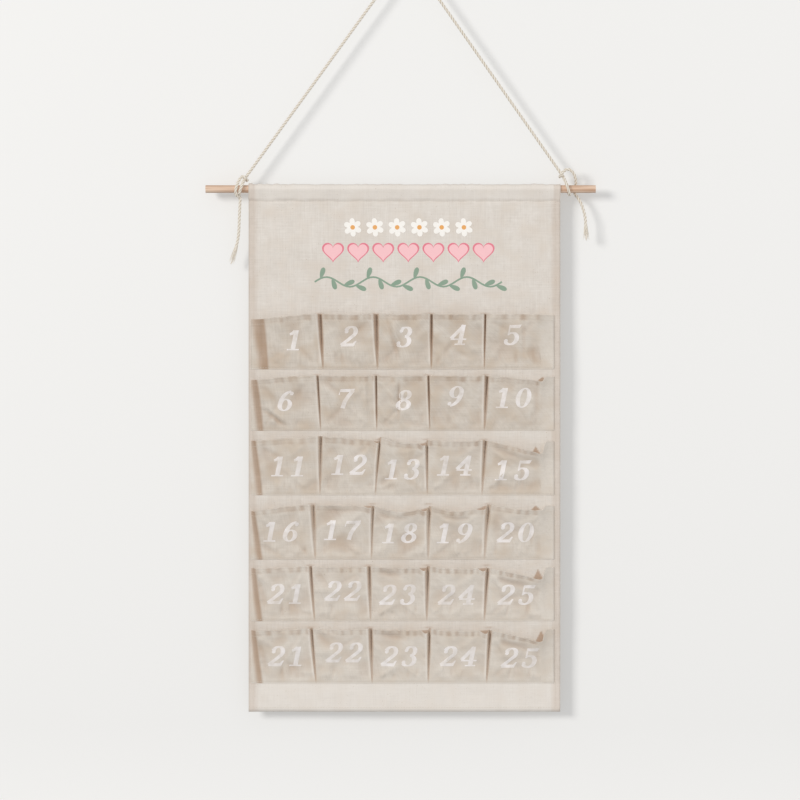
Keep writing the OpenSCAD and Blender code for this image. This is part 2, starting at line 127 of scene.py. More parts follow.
def mathNode(tree, operation, where, *values):
    node = addNode(tree, "Math", where, operation=operation)
    feed(tree, node.inputs, values)
    return node.outputs[0]


def mixColors(tree, where, factor, first, second, blend="MIX"):
    node = addNode(tree, "Mix", where, data_type="RGBA", blend_type=blend)
    feed(tree, (node.inputs[0], node.inputs[6], node.inputs[7]), (factor, first, second))
    return node.outputs[2]


def rangeNode(tree, where, value, fromMin, fromMax, toMin=0.0, toMax=1.0):
    return addNode(tree, "MapRange", where,
                   {"Value": value, "From Min": fromMin, "From Max": fromMax, "To Min": toMin,
                    "To Max": toMax}).outputs[0]


def finishShader(tree, shader, color, roughness, height, strength):
    # The colour and the fine relief that every material here ends in
    bump = addNode(tree, "Bump", (-300, -500),
                   {"Strength": strength, "Distance": 0.0003, "Height": height})
    feed(tree, [shader.inputs[name] for name in ("Base Color", "Roughness", "Normal")],
         (color, roughness, bump.outputs[0]))


def newGroup(name, inputs, outputs):
    group = bpy.data.node_groups.new(name, "ShaderNodeTree")
    for socketName, kind, default in inputs:
        socket = group.interface.new_socket(socketName, in_out="INPUT", socket_type=kind)
        if default is not None:
            socket.default_value = default
    for socketName, kind in outputs:
        group.interface.new_socket(socketName, in_out="OUTPUT", socket_type=kind)
    start = group.nodes.new("NodeGroupInput")
    end = group.nodes.new("NodeGroupOutput")
    start.location, end.location = (-900, 0), (900, 0)
    return group, start.outputs, end.inputs


def placeGroup(tree, group, where, **values):
    node = addNode(tree, "Group", where, node_tree=group)
    feed(tree, [node.inputs[name] for name in values], values.values())
    return node


def linear(red, green, blue):
    # A colour read off a screen, 0 to 255, as Blender's linear colour
    parts = [part / 255 for part in (red, green, blue)]
    return tuple(p / 12.92 if p <= 0.04045 else ((p + 0.055) / 1.055) ** 2.4 for p in parts) + (1,)


# Effects shared by the materials

def makePlainWeave():
    # Threads over and under each other; Place is in metres along the cloth
    group, start, end = newGroup(
        "plainWeave",
        [("Place", "NodeSocketVector", None), ("Pitch", "NodeSocketFloat", 0.0009)],
        [("Height", "NodeSocketFloat")])
    split = addNode(group, "SeparateXYZ", (-700, 100), {0: start["Place"]})
    sines, cosines = [], []
    for level, axis in ((200, "X"), (-100, "Y")):
        turns = mathNode(group, "DIVIDE", (-500, level), split.outputs[axis], start["Pitch"])
        angle = mathNode(group, "MULTIPLY", (-340, level), turns, math.pi)
        sines.append(mathNode(group, "SINE", (-180, level), angle))
        cosines.append(mathNode(group, "COSINE", (-180, level - 140), angle))
    warp, weft = (mathNode(group, "ABSOLUTE", (0, 200 - 300 * i), sines[i]) for i in (0, 1))
    over = mathNode(group, "MULTIPLY", (0, 50), *cosines)
    warpHigh = mathNode(group, "MULTIPLY_ADD", (200, 200), over, 0.5, 0.5)
    weftHigh = mathNode(group, "SUBTRACT", (200, -100), 1.0, warpHigh)
    warpPart = mathNode(group, "MULTIPLY", (400, 200), warp, warpHigh)
    weftPart = mathNode(group, "MULTIPLY", (400, -100), weft, weftHigh)
    group.links.new(mathNode(group, "ADD", (600, 100), warpPart, weftPart), end["Height"])
    return group


def makeSlubs():
    # Thick and thin stretches of thread, longer along the thread than across it
    group, start, end = newGroup(
        "slubs",
        [("Place", "NodeSocketVector", None), ("Length", "NodeSocketFloat", 0.03),
         ("Width", "NodeSocketFloat", 0.0012)],
        [("Value", "NodeSocketFloat")])
    split = addNode(group, "SeparateXYZ", (-700, 0), {0: start["Place"]})
    values = []
    for level, along, across in ((200, "X", "Y"), (-100, "Y", "X")):
        far = mathNode(group, "DIVIDE", (-450, level + 50), split.outputs[along], start["Length"])
        wide = mathNode(group, "DIVIDE", (-450, level - 100), split.outputs[across],
                        start["Width"])
        join = addNode(group, "CombineXYZ", (-200, level),
                       {0: far, 1: wide, 2: 0 if along == "X" else 7.3})
        grain = addNode(group, "TexNoise", (0, level),
                        {"Scale": 1, "Detail": 2, "Vector": join.outputs[0]})
        values.append(grain.outputs[0])
    both = mathNode(group, "ADD", (300, 0), *values)
    group.links.new(mathNode(group, "MULTIPLY", (500, 0), both, 0.5), end["Value"])
    return group


def makeMottle():
    # Soft clouds of lighter and darker cloth, and a few darker seeds in it
    group, start, end = newGroup(
        "mottle",
        [("Place", "NodeSocketVector", None), ("Size", "NodeSocketFloat", 0.05)],
        [("Value", "NodeSocketFloat"), ("Flecks", "NodeSocketFloat")])
    scale = mathNode(group, "DIVIDE", (-700, -150), 1.0, start["Size"])
    scaled = addNode(group, "VectorMath", (-500, 0), operation="SCALE")
    feed(group, (scaled.inputs[0], scaled.inputs["Scale"]), (start["Place"], scale))
    clouds = addNode(group, "TexNoise", (-250, 100),
                     {"Scale": 1, "Detail": 4, "Vector": scaled.outputs[0]})
    seeds = addNode(group, "TexNoise", (-250, -200),
                    {"Scale": 38, "Detail": 1, "Vector": scaled.outputs[0]})
    group.links.new(clouds.outputs[0], end["Value"])
    group.links.new(mathNode(group, "GREATER_THAN", (100, -200), seeds.outputs[0], 0.77),
                    end["Flecks"])
    return group


plainWeave = makePlainWeave()
slubs = makeSlubs()
mottle = makeMottle()
print("shared effects made")


def newMaterial(name, gloss=0.5):
    material = bpy.data.materials.new(name)
    material.use_nodes = True
    shader = material.node_tree.nodes["Principled BSDF"]
    shader.inputs["Specular IOR Level"].default_value = gloss
    return material, material.node_tree, shader


wood = {"tints": (linear(200, 164, 138), linear(238, 211, 188)), "roughness": 0.62}
canvas = {
    "seed": linear(176, 158, 134), "shaded": linear(188, 147, 108),
    "pitch": 0.00085, "roughness": 0.92, "weaveDepth": 0.25,
}
# In each tone, the palest colour is the one that painted light takes the cloth towards
panelTone = {
    "light": linear(232, 226, 219), "dark": linear(214, 206, 197),
    "warmShade": linear(217, 205, 192), "warmShadeShare": 0.45, "wearAndPaintedLight": linear(240, 234, 227),
}
# The pockets' colours are darker than the panel's: painted shade on the pockets' faces
pocketTone = {
    "light": linear(224, 216, 206), "dark": linear(203, 193, 181),
    "warmShade": linear(203, 187, 169), "warmShadeShare": 0.7, "wearAndPaintedLight": linear(237, 230, 221),
}


def makeCloth(name, tone, ink=None, cover=0.0):
    # Canvas, or canvas with ink printed on it that lets some of the cloth show
    material, tree, shader = newMaterial(name, 0.2)
    place = addNode(tree, "UVMap", (-1700, 0), uv_map="clothPlace").outputs[0]
    objectPlace = addNode(tree, "TexCoord", (-1700, -300)).outputs["Object"]
    threads = placeGroup(tree, slubs, (-1400, 200), Place=place).outputs["Value"]
    clouds = placeGroup(tree, mottle, (-1400, -100), Place=objectPlace, Size=0.042)
    specks = placeGroup(tree, mottle, (-1400, -300), Place=objectPlace, Size=0.0065)
    weave = placeGroup(tree, plainWeave, (-1400, -500), Place=place, Pitch=canvas["pitch"])
    soft = mathNode(tree, "MULTIPLY", (-1200, -100), clouds.outputs["Value"], 0.45)
    fine = mathNode(tree, "MULTIPLY", (-1200, -250), specks.outputs["Value"], 0.5)
    blotches = mathNode(tree, "ADD", (-1050, -150), soft, fine)
    total = mathNode(tree, "ADD", (-950, 100), threads, blotches)
    color = mixColors(tree, (-600, 100), rangeNode(tree, (-800, 100), total, 0.7, 1.25),
                      tone["dark"], tone["light"])
    # Painted shade: broad patches at random over the cloth, warmer and darker than the rest, for the
    # shade of creases
    patches = placeGroup(tree, mottle, (-1000, 400), Place=objectPlace, Size=0.026)
    warmShade = rangeNode(tree, (-800, 400), patches.outputs["Value"], 0.46, 0.66, 0,
                     tone["warmShadeShare"])
    color = mixColors(tree, (-500, 200), warmShade, color, tone["warmShade"])
    # Painted light: the cloth turns towards that palest colour where its points carry painted light
    lit = addNode(tree, "Attribute", (-800, 600), attribute_name="foldLight").outputs["Fac"]
    color = mixColors(tree, (-460, 200), lit, color, tone["wearAndPaintedLight"])
    color = mixColors(tree, (-420, 100), clouds.outputs["Flecks"], color, canvas["seed"])
    if ink:
        uneven = placeGroup(tree, mottle, (-1000, -350), Place=objectPlace, Size=0.02)
        patchy = mathNode(tree, "ADD", (-800, -200), uneven.outputs["Value"],
                          specks.outputs["Value"])
        wearAndPaintedLight = rangeNode(tree, (-600, -150), mathNode(tree, "MULTIPLY", (-700, -200), patchy, 0.56),
                         0.42, 0.7, *cover)
        color = mixColors(tree, (-250, 0), wearAndPaintedLight, color, ink)
    folds = addNode(tree, "Attribute", (-600, -350), attribute_name="foldShade").outputs["Fac"]
    # The panel's back and the insides of the pockets have none of that shade
    around = addNode(tree, "NewGeometry", (-900, -500)).outputs["Normal"]
    facing = addNode(tree, "SeparateXYZ", (-750, -500), {0: around}).outputs["Y"]
    front = rangeNode(tree, (-600, -500), facing, 0.8, 0.4)
    shaded = mathNode(tree, "MULTIPLY", (-250, -350), folds, front)
    color = mixColors(tree, (-80, 100), shaded, color, canvas["shaded"], "MULTIPLY")
    height = mathNode(tree, "ADD", (-600, -600), weave.outputs["Height"], threads)
    finishShader(tree, shader, color, 0.75 if ink else canvas["roughness"], height,
                 canvas["weaveDepth"])
    return material


def makeWood():
    material, tree, shader = newMaterial("dowelWood")
    place = addNode(tree, "TexCoord", (-1200, 0)).outputs["Object"]
    grain = addNode(tree, "Mapping", (-1000, 0), {"Vector": place, "Scale": (14, 320, 320)})
    streaks = addNode(tree, "TexNoise", (-800, 0),
                      {"Vector": grain.outputs[0], "Scale": 1, "Detail": 5}).outputs[0]
    ramp = addNode(tree, "ValToRGB", (-600, 0), {0: streaks})
    for element, position, tint in zip(ramp.color_ramp.elements, (0.36, 0.62), wood["tints"]):
        element.position = position
        element.color = tint
    finishShader(tree, shader, ramp.outputs[0], wood["roughness"], streaks, 0.25)
    return material


def makeCotton(name, light, dark, fibre):
    # Spun yarn: fine fibres along it, and painted shade down between its strands
    material, tree, shader = newMaterial(name, 0.2)
    place = addNode(tree, "UVMap", (-1200, 0), uv_map="clothPlace").outputs[0]
    fibres = placeGroup(tree, slubs, (-900, 0), Place=place, Length=0.006,
                        Width=fibre).outputs["Value"]
    folds = addNode(tree, "Attribute", (-900, -300), attribute_name="foldShade").outputs["Fac"]
    color = mixColors(tree, (-500, 0), fibres, dark, light)
    color = mixColors(tree, (-300, 0), folds, color, linear(196, 182, 164), "MULTIPLY")
    finishShader(tree, shader, color, 0.9, fibres, 0.5)
    return material


def makeWallPaint():
    # Plain paint that isn't there when the camera looks at it from behind
    material, tree, shader = newMaterial("studioPaint", 0.1)
    shader.inputs["Base Color"].default_value = studio["wallColor"] + (1,)
    shader.inputs["Roughness"].default_value = 0.95
    clear = addNode(tree, "BsdfTransparent", (100, -300))
    behind = addNode(tree, "NewGeometry", (-100, 200)).outputs["Backfacing"]
    mixed = addNode(tree, "MixShader", (350, 100),
                    {0: behind, 1: shader.outputs[0], 2: clear.outputs[0]})
    tree.links.new(mixed.outputs[0], tree.nodes["Material Output"].inputs["Surface"])
    return material


inks = {
    "numberInk": (pocketTone, linear(246, 241, 240), (0.42, 0.94)),
    "petalInk": (panelTone, linear(252, 249, 244), (0.94, 0.98)),
    "eyeInk": (panelTone, linear(238, 172, 96), (0.9, 0.96)),
    "heartInk": (panelTone, linear(252, 200, 205), (0.94, 0.98)),
    "heartLineInk": (panelTone, linear(233, 128, 146), (0.92, 0.98)),
    "vineInk": (panelTone, linear(136, 162, 142), (0.9, 0.96)),
}
canvasCloth = makeCloth("canvasCloth", panelTone)
pocketCloth = makeCloth("pocketCloth", pocketTone)
inkMaterials = {name: makeCloth(name, *facts) for name, facts in inks.items()}
dowelWood = makeWood()
cordCotton = makeCotton("cordCotton", linear(250, 246, 238), linear(228, 220, 206), 0.0004)
seamThread = makeCotton("seamThread", linear(224, 216, 205), linear(208, 198, 185), 0.0002)
print("materials made:", len(bpy.data.materials))


# Mesh helpers

def newObject(name, mesh, material):
    piece = bpy.data.objects.new(name, mesh)
    mesh.materials.append(material)
    for face in mesh.polygons:
        face.use_smooth = True
    scene.collection.objects.link(piece)
    return piece


def setPlaces(mesh, places, shades, lights=None):
    # Where each point lies on the flat cloth, how much painted shade it has, and how much painted
    # light
    layer = mesh.uv_layers.new(name="clothPlace")
    loopPoints = np.empty(len(mesh.loops), dtype=np.int32)
    mesh.loops.foreach_get("vertex_index", loopPoints)
    layer.data.foreach_set("uv", np.asarray(places, np.float32)[loopPoints].ravel())
    shade = mesh.attributes.new("foldShade", "FLOAT", "POINT")
    shade.data.foreach_set("value", np.asarray(shades, np.float32))
    if lights is not None:
        light = mesh.attributes.new("foldLight", "FLOAT", "POINT")
        light.data.foreach_set("value", np.asarray(lights, np.float32))


def gridFaces(rows, columns, start=0):
    corner = start + np.arange(rows - 1)[:, None] * columns + np.arange(columns - 1)
    return np.stack([corner, corner + 1, corner + columns + 1, corner + columns],
                    axis=-1).reshape(-1, 4)


def ringFaces(rings, count, start=0):
    # The faces of a tube, from rings of points
    i = start + np.arange(rings - 1)[:, None] * count
    j = np.arange(count)
    a, b = i + j, i + (j + 1) % count
    return np.stack([a, b, b + count, a + count], axis=-1).reshape(-1, 4)


def ringPoints(line, size, across, up, angle):
    # A ring round each point of a line, in its two directions across
    return line[:, None, :] + size[..., None] * (
        np.cos(angle)[None, :, None] * across[:, None, :]
        + np.sin(angle)[None, :, None] * up[:, None, :])


def runAlong(points):
    # The length from the first point to each of the others
    steps = np.linalg.norm(np.diff(points, axis=0), axis=1)
    return np.concatenate([[0], np.cumsum(steps)])


def meshFrom(name, points, faces, places, shades, lights=None):
    mesh = bpy.data.meshes.new(name)
    mesh.from_pydata(np.asarray(points).tolist(), [], np.asarray(faces).tolist())
    setPlaces(mesh, places, shades, lights)
    mesh.update()
    return mesh


def clothPiece(name, points, parts, material, thickness):
    # One cloth from parts of (points, places, shades, lights), given its thickness behind them
    count, faces = 0, []
    for part in parts:
        faces.append(gridFaces(*part[2].shape, start=count))
        count += part[2].size
    columns = [np.concatenate([part[k].reshape(-1, wide) for part in parts])
               for k, wide in enumerate((3, 2, 1, 1))]
    mesh = meshFrom(name, columns[0] * mm, np.concatenate(faces), columns[1] * mm,
                    columns[2].ravel(), columns[3].ravel())
    piece = newObject(name, mesh, material)
    thick = piece.modifiers.new("cloth", "SOLIDIFY")
    thick.thickness = thickness * mm
    thick.offset = -1
    return piece, BVHTree.FromPolygons((points.reshape(-1, 3) * mm).tolist(), faces[0].tolist())


def castBack(tree, x, z):
    # Where a line from well in front of the cloth meets it, and the cloth's normal there
    return tree.ray_cast(Vector((x, -0.2, z)), Vector((0, 1, 0)))[:2]


def standFor(piece, node=None):
    # Hides the part that the piece stands for, and ties the piece to the body that it moves with
    if node:
        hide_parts(node)
    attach(piece, "root")


def waves(seed, count, shortest, longest, stretch=(1, 1)):
    # A smooth random surface between about -1 and 1, as a sum of waves over the cloth
    draw = random.Random(seed)
    parts = []
    for _ in range(count):
        angle = draw.uniform(0, math.tau)
        size = math.tau / draw.uniform(shortest, longest)
        parts.append((size * math.cos(angle) * stretch[0], size * math.sin(angle) * stretch[1],
                      draw.uniform(0, math.tau)))

    def at(x, z):
        total = sum(np.sin(kx * x + kz * z + phase) for kx, kz, phase in parts)
        return total / math.sqrt(count)
    return at


def sharpFolds(seed, count, shortest, longest):
    # Creases with soft flanks and a sharp line, along the places where two wave fields cross
    soft, bend = waves(seed, count, shortest, longest), waves(seed + 1, 4, 30, 70)

    def at(x, z):
        value = soft(x + 4 * bend(x, z), z + 4 * bend(z, x))
        return 0.6 - np.sqrt(value ** 2 + 0.04)
    return at


def smooth(low, high, value):
    share = np.clip((value - low) / (high - low), 0, 1)
    return share * share * (3 - 2 * share)


# How the pockets are sewn and how they hang, row one at the top: mm to the right, and mm down
foldFoot = [[3, 3, 2, 0], [0, 2, 0, 0], [-1, 0, -3, -3], [-7, -5, -2, 0], [-8, -6, -4, 0],
            [-6, -4, -2, 3]]
foldLean = [[-4, -2, 0, 1], [-4, -1, -2, 3], [1, 6, -1, 4], [-3, 2, 1, 5], [-5, -2, 1, 4],
            [-6, -2, 1, 4]]
foldOpen = [[1.5, 1.8, 0.9, 0.75], [0.75, 0.75, 0.7, 1.35], [1.4, 0.95, 0.95, 1.5],
            [1.6, 1.15, 1.5, 1.7], [1.05, 1.25, 1.5, 1.4], [1.05, 1.4, 1.15, 1.4]]
# The left end's pleat in each row: how wide it is at the foot and at the mouth, mm
leftPleat = [[22, 17], [15, 8], [14, 6], [14, 5], [14, 6], [14, 6]]
mouthDrop = [
    [[7, 3, 0], [0, 1, 0], [0, 1, 0], [0, 1, 0], [0, 1, 1]],
    [[6, 2, 0], [0, 1, 0], [0, 1, 0], [0, 1, 0], [1, 4, 8]],
    [[1, -2, -5], [-5, -2, 0], [-4, 4, 2], [0, 2, 0], [1, 9, 18]],
    [[9, 3, 0], [0, 1, 0], [2, 9, 3], [2, 9, 0], [0, 5, 7]],
    [[3, 1, 0], [0, 1, 0], [0, 2, 1], [0, 3, 1], [3, 9, 17]],
    [[3, 1, 0], [0, 1, 0], [0, 2, 1], [0, 3, 1], [3, 9, 17]]]
# Where a mouth's right corner gapes: its row, its pocket, how wide and how deep, mm
cornerGapes = [(3, 2, 11, 4), (3, 3, 12, 5), (4, 2, 14, 4), (4, 3, 10, 5), (4, 4, 15, 6),
               (5, 3, 10, 5), (5, 4, 12, 5), (6, 3, 10, 5), (6, 4, 12, 5)]
# Painted shade for the small openings at the rows' right ends: row, middle x, mm from the row's line
# down to the top and to the bottom, and half the width at the bottom
endSlitShades = [(2, 176, 2, 6, 6), (3, 167, 8, 21, 7.5), (4, 167, 1, 8, 7), (5, 170, 4, 18, 7),
            (6, 174, 3, 17, 7)]
# How much painted light each row has over the one at the top, and how brown the painted shade in the
# folds between its pockets is
rowLights = [0, 0, 0.08, 0.14, 0.24, 0.24]
foldBrowns = [0.5, 0.44, 0.36, 0.3, 0.38, 0.38]
# How far the fold between two pockets stands off the panel, as a share of the pocket's depth
foldLift = [0.05, 0.05, 0.3, 0.34, 0.16, 0.16]
rowCount, pocketCount = 6, 5
rowBoxes = [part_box(f"pocket_row_{row + 1}") for row in range(rowCount)]
rowFeet = [low.z / mm for low, high in rowBoxes]
stripLeft, stripRight = rowBoxes[0][0].x / mm, rowBoxes[0][1].x / mm
strip = {
    "thickness": 0.8, "pocketHeight": 72, "pocketDepth": 14, "footHem": 4, "mouthHem": 7,
    "pocketWidth": 71, "endPleat": 20, "endPleatFoot": 17, "pleatGap": 5, "round": 2.6,
    "flare": 1.3,  # above 1 the pocket hangs straight at its foot and leans out at its mouth
    "sway": 1.15,  # mm of broad waves over a pocket's face
    "crumple": 0.14,  # mm of small ones
    "fold": 1.05,  # mm of sharp folds
    "pucker": 0.75,  # mm that the hem at the mouth is drawn up into small folds
    "creaseDepth": 1.9, "rimRoll": 0.3, "hemLine": 0.25, "ragged": 0.45,  # mm
    "footDepth": 0.2, "footRoll": 0.52, "hemRoll": 0.56,  # mm off the panel, from its foot up
    "faceColumns": 48,
    "pleatShade": (0.46, 0.16),  # of the left pleat: at its outer edge, and more at the face
    "rimLight": 0.1, "footLight": 0.5, "foldLight": 0.6, "endLight": 0.26,
}


def foldX(row, fold, high):
    if fold == 0:
        return stripLeft + 0 * high
    if fold == pocketCount:
        return stripRight + 0 * high
    return (stripLeft + strip["endPleat"] + fold * strip["pocketWidth"]
            + foldFoot[row][fold - 1] + foldLean[row][fold - 1] * high)


def foldSide(row, fold, high):
    if fold == 0:
        return leftPleat[row][0] + (leftPleat[row][1] - leftPleat[row][0]) * high
    if fold == pocketCount:
        return strip["endPleatFoot"] + (strip["endPleat"] - strip["endPleatFoot"]) * high
    wide = strip["pleatGap"] / 2 * foldOpen[row][fold - 1]
    return 0.8 + (wide - 0.8) * high ** 0.65


def dropAt(drops, share):
    return (drops[0] * (1 - share) * (1 - 2 * share) + drops[1] * 4 * share * (1 - share)
            + drops[2] * share * (2 * share - 1))


# The back panel: one cloth, with its sleeve round the dowel and its hems turned to the back

panelLow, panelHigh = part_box("back_panel")
panel = {
    "thickness": 0.8, "sleeveClearance": 0.2, "sleeveSlack": 11, "turnedEdge": 6,
    "sideHem": 8, "bottomHem": 7, "step": 5, "fineStep": 1.1,
    "sway": 0.8,  # mm that the cloth waves in and out
    "gathers": 0.8,  # mm that the sleeve puckers
    "hemRise": 0.35,  # mm that the side hems stand proud
    "hemShade": 0.18, "hemLineShade": 0.3, "mouthShade": 0.55, "foldTopShade": 0.4,
    "slitShade": 0.62, "edgeLight": 0.45,  # painted light on the sleeve and on the band at the foot
    "seamSink": 0.35, "seamWander": 0.7, "hemClearance": 0.02,  # mm
}
leftX, rightX = panelLow.x / mm, panelHigh.x / mm
footZ = panelLow.z / mm
seamZ = dowelZ - dowelRadius - panel["sleeveSlack"]
broadWaves = waves(11, 7, 90, 260, (1, 0.7))
fineWaves = waves(12, 9, 22, 60)
# Creases in the bare canvas: from x, z to x, z, how wide and how deep
panelCreases = [(-195, -951, -160, -978, 2.4, 1.1), (-150, -958, -60, -952, 4, 0.5),
                (-22, -950, -24, -976, 3, 0.8), (60, -953, 150, -962, 5, -0.5),
                (-185, -326, -120, -332, 6, 0.4), (-175, -318, -188, -352, 4, -0.4),
                (120, -322, 180, -345, 8, 0.3), (-30, -430, 60, -424, 9, 0.3)]


def creaseHeight(creases, x, z):
    total = np.zeros(np.broadcast(x, z).shape)
    for x0, z0, x1, z1, wide, depth in creases:
        length = math.hypot(x1 - x0, z1 - z0)
        cx, cz = (x1 - x0) / length, (z1 - z0) / length
        along = (x - x0) * cx + (z - z0) * cz
        across = (x - x0) * -cz + (z - z0) * cx
        fade = smooth(-2, 0.25 * length, along) * (1 - smooth(0.6 * length, length + 2, along))
        total = total + depth * fade * np.exp(-(across / wide) ** 2)
    return total


def panelWave(x, z):
    # How far the panel's front stands forward of its flat place, in mm
    free = smooth(0, 26, seamZ - z)
    hems = np.maximum(smooth(rightX - 9, rightX - 7.4, x), 1 - smooth(leftX + 7.4, leftX + 9, x))
    sag = panel["sway"] * broadWaves(x, z) + 0.16 * fineWaves(x, z)
    return (sag + creaseHeight(panelCreases, x, z)) * free + panel["hemRise"] * hems


def panelFront(x, z):
    return -panel["thickness"] / 2 - panelWave(x, z)


def sleevePath():
    # Across the dowel: (y, z) from the foot, up and over the dowel, to the turned edge
    radius = dowelRadius + panel["sleeveClearance"] + panel["thickness"] / 2
    touch = math.acos(radius / (dowelZ - seamZ))
    levels = set(np.round(np.arange(footZ, seamZ, panel["step"]), 2))
    for foot in rowFeet:
        line = foot + strip["pocketHeight"]
        levels = {z for z in levels if not line - 21 < z < line + 5}
        levels |= set(np.round(np.arange(line - 21, line + 5, panel["fineStep"]), 2))
    path = [(0, z) for z in sorted(levels) if z < seamZ - 3]
    path += [(0, z) for z in np.arange(seamZ - 2.5, seamZ + 0.1, 0.5)]
    loop = [(radius * math.cos(a), dowelZ + radius * math.sin(a))
            for a in np.linspace(math.pi * 1.5 - touch, touch - math.pi / 2, 26)]
    for start, end, after in ((path[-1], loop[0], loop), (loop[-1], (0.8, seamZ), [])):
        path += [(start[0] + (end[0] - start[0]) * i / 12, start[1] + (end[1] - start[1]) * i / 12)
                 for i in range(1, 12)] + after
    path += [(0.8, seamZ - i) for i in range(0, panel["turnedEdge"] + 1, 2)]
    return np.array(path)


def mouthLine(row, x):
    # The height of a row's mouths along x, without their corner gapes
    drop = np.zeros_like(x)
    for pocket in range(pocketCount):
        c0 = foldX(row, pocket, 1) + foldSide(row, pocket, 1)
        c1 = foldX(row, pocket + 1, 1) - foldSide(row, pocket + 1, 1)
        here = (x >= c0 - strip["endPleat"] * (pocket == 0) - 4) & (x <= c1 + 4)
        drop = np.where(here, dropAt(mouthDrop[row][pocket], np.clip((x - c0) / (c1 - c0), 0, 1)),
                        drop)
    return rowFeet[row] + strip["pocketHeight"] - drop


def panelShades(x, z):
    # Painted brown shade inside the pockets, in the small slits at the mouths and at the folds' tops
    total = np.zeros(x.shape)
    for row in range(rowCount):
        line = mouthLine(row, x)
        inside = smooth(2, 14, z - rowFeet[row]) * (1 - smooth(-2.6, -0.8, z - line))
        inside *= smooth(stripLeft + 6, stripLeft + 22, x) * (
            1 - smooth(stripRight - 26, stripRight - 20, x))
        total = np.maximum(total, panel["mouthShade"] * inside)
        top = rowFeet[row] + strip["pocketHeight"]
        for fold in range(1, pocketCount):
            near = np.exp(-((x - foldX(row, fold, 1) + 1) / 4.5) ** 2)
            near = near * np.exp(-((z - top - 0.8) / 1.1) ** 2)
            total = np.maximum(total, panel["foldTopShade"] * near)
    for row, middle, high, low, half in endSlitShades:
        line = rowFeet[row - 1] + strip["pocketHeight"]
        down = np.clip((line - high - z) / (low - high), 0, 1)
        within = smooth(-0.6, 0.8, down * half - np.abs(x - middle)) * (down > 0)
        total = np.maximum(total, panel["slitShade"] * within * (z > line - low - 6))
    return total


def makePanel():
    path = sleevePath()
    ahead = np.gradient(path, axis=0)
    ahead /= np.linalg.norm(ahead, axis=1)[:, None]
    outward = np.stack([-ahead[:, 1], ahead[:, 0]], axis=1)
    # Its columns lie closer where the small openings are
    x = np.concatenate([np.linspace(leftX, 152, 106), np.linspace(153.6, 186, 21),
                        np.linspace(189, rightX, 5)])
    nearSleeve = smooth(seamZ + 1, seamZ + 5, path[:, 1])[:, None]
    run = runAlong(path)
    gather = waves(21, 8, 8, 24, (1, 0.2))
    xx, zz = np.meshgrid(x, path[:, 1])
    runs = np.repeat(run[:, None], len(x), axis=1)
    # The sleeve is drawn into small upright folds, most at its left end
    pucker = panel["gathers"] * (0.5 + gather(xx, runs)) * nearSleeve
    pucker *= 0.6 + 0.9 * np.exp(-((xx - leftX) / 60) ** 2)
    move = panelWave(xx, zz) * (1 - nearSleeve) + np.maximum(pucker, -0.1)
    move -= panel["seamSink"] * np.exp(-((zz - seamZ) / 1.2) ** 2) * (1 - nearSleeve)
    onBack = (np.arange(len(path)) > len(path) - 5)[:, None]
    move = np.where(onBack, -panelWave(xx, zz), move) + panel["thickness"] / 2
    points = np.stack([xx, path[:, 0][:, None] + outward[:, 0][:, None] * move,
                       zz + outward[:, 1][:, None] * move], axis=-1)
    # The seam below the sleeve wanders a little
    wander = waves(23, 6, 14, 60)(x, 0 * x) * (0.5 + np.exp(-((x - leftX) / 50) ** 2))
    points[..., 2] += panel["seamWander"] * wander * np.exp(-((zz - seamZ) / 5) ** 2)
    places = np.stack([xx - leftX, runs], axis=-1)
    shades = panelShades(xx, zz) * (1 - nearSleeve)
    wide = panel["sideHem"]
    hems = np.maximum(np.exp(-((xx - leftX - wide - 0.6) / 1.5) ** 2),
                      np.exp(-((xx - rightX + wide + 0.6) / 1.5) ** 2))
    shades = np.maximum(shades, panel["hemLineShade"] * hems * (1 - nearSleeve))
    onHem = np.maximum(xx > rightX - wide, xx < leftX + wide)
    shades = np.maximum(shades, panel["hemShade"] * onHem)
    # Painted light on the sleeve and on the band at the panel's foot
    footBand = smooth(rowFeet[-1] + 2, rowFeet[-1] - 2, zz)
    lights = panel["edgeLight"] * np.maximum(nearSleeve + 0 * xx, footBand)
    parts = [(points, places, shades, lights)]
    # The hems lie against the panel's back
    hemFoot = footZ + panel["bottomHem"]
    for x0, x1, z0, z1, across, up in (
            (leftX + 0.2, leftX + panel["sideHem"], hemFoot + 0.4, seamZ - 7, 5, 150),
            (rightX - panel["sideHem"], rightX - 0.2, hemFoot + 0.4, seamZ - 7, 5, 150),
            (leftX + 0.2, rightX - 0.2, footZ + 0.1, hemFoot, 100, 5)):
        hx, hz = np.meshgrid(np.linspace(x0, x1, across), np.linspace(z0, z1, up))
        behind = panel["thickness"] / 2 + panel["hemClearance"] - panelWave(hx, hz)
        hem = np.stack([hx, behind, hz], axis=-1)
        parts.append((hem, np.stack([hx - leftX, hz - footZ], axis=-1), 0 * hx, 0 * hx))
    piece, tree = clothPiece("backPanel", points, parts, canvasCloth, panel["thickness"])
    cutSize = ((rightX - leftX + 2 * panel["sideHem"]) * mm, (run[-1] + panel["bottomHem"]) * mm)
    return piece, tree, cutSize


# The pocket strips: each is one pleated cloth, sewn down at its foot and its folds

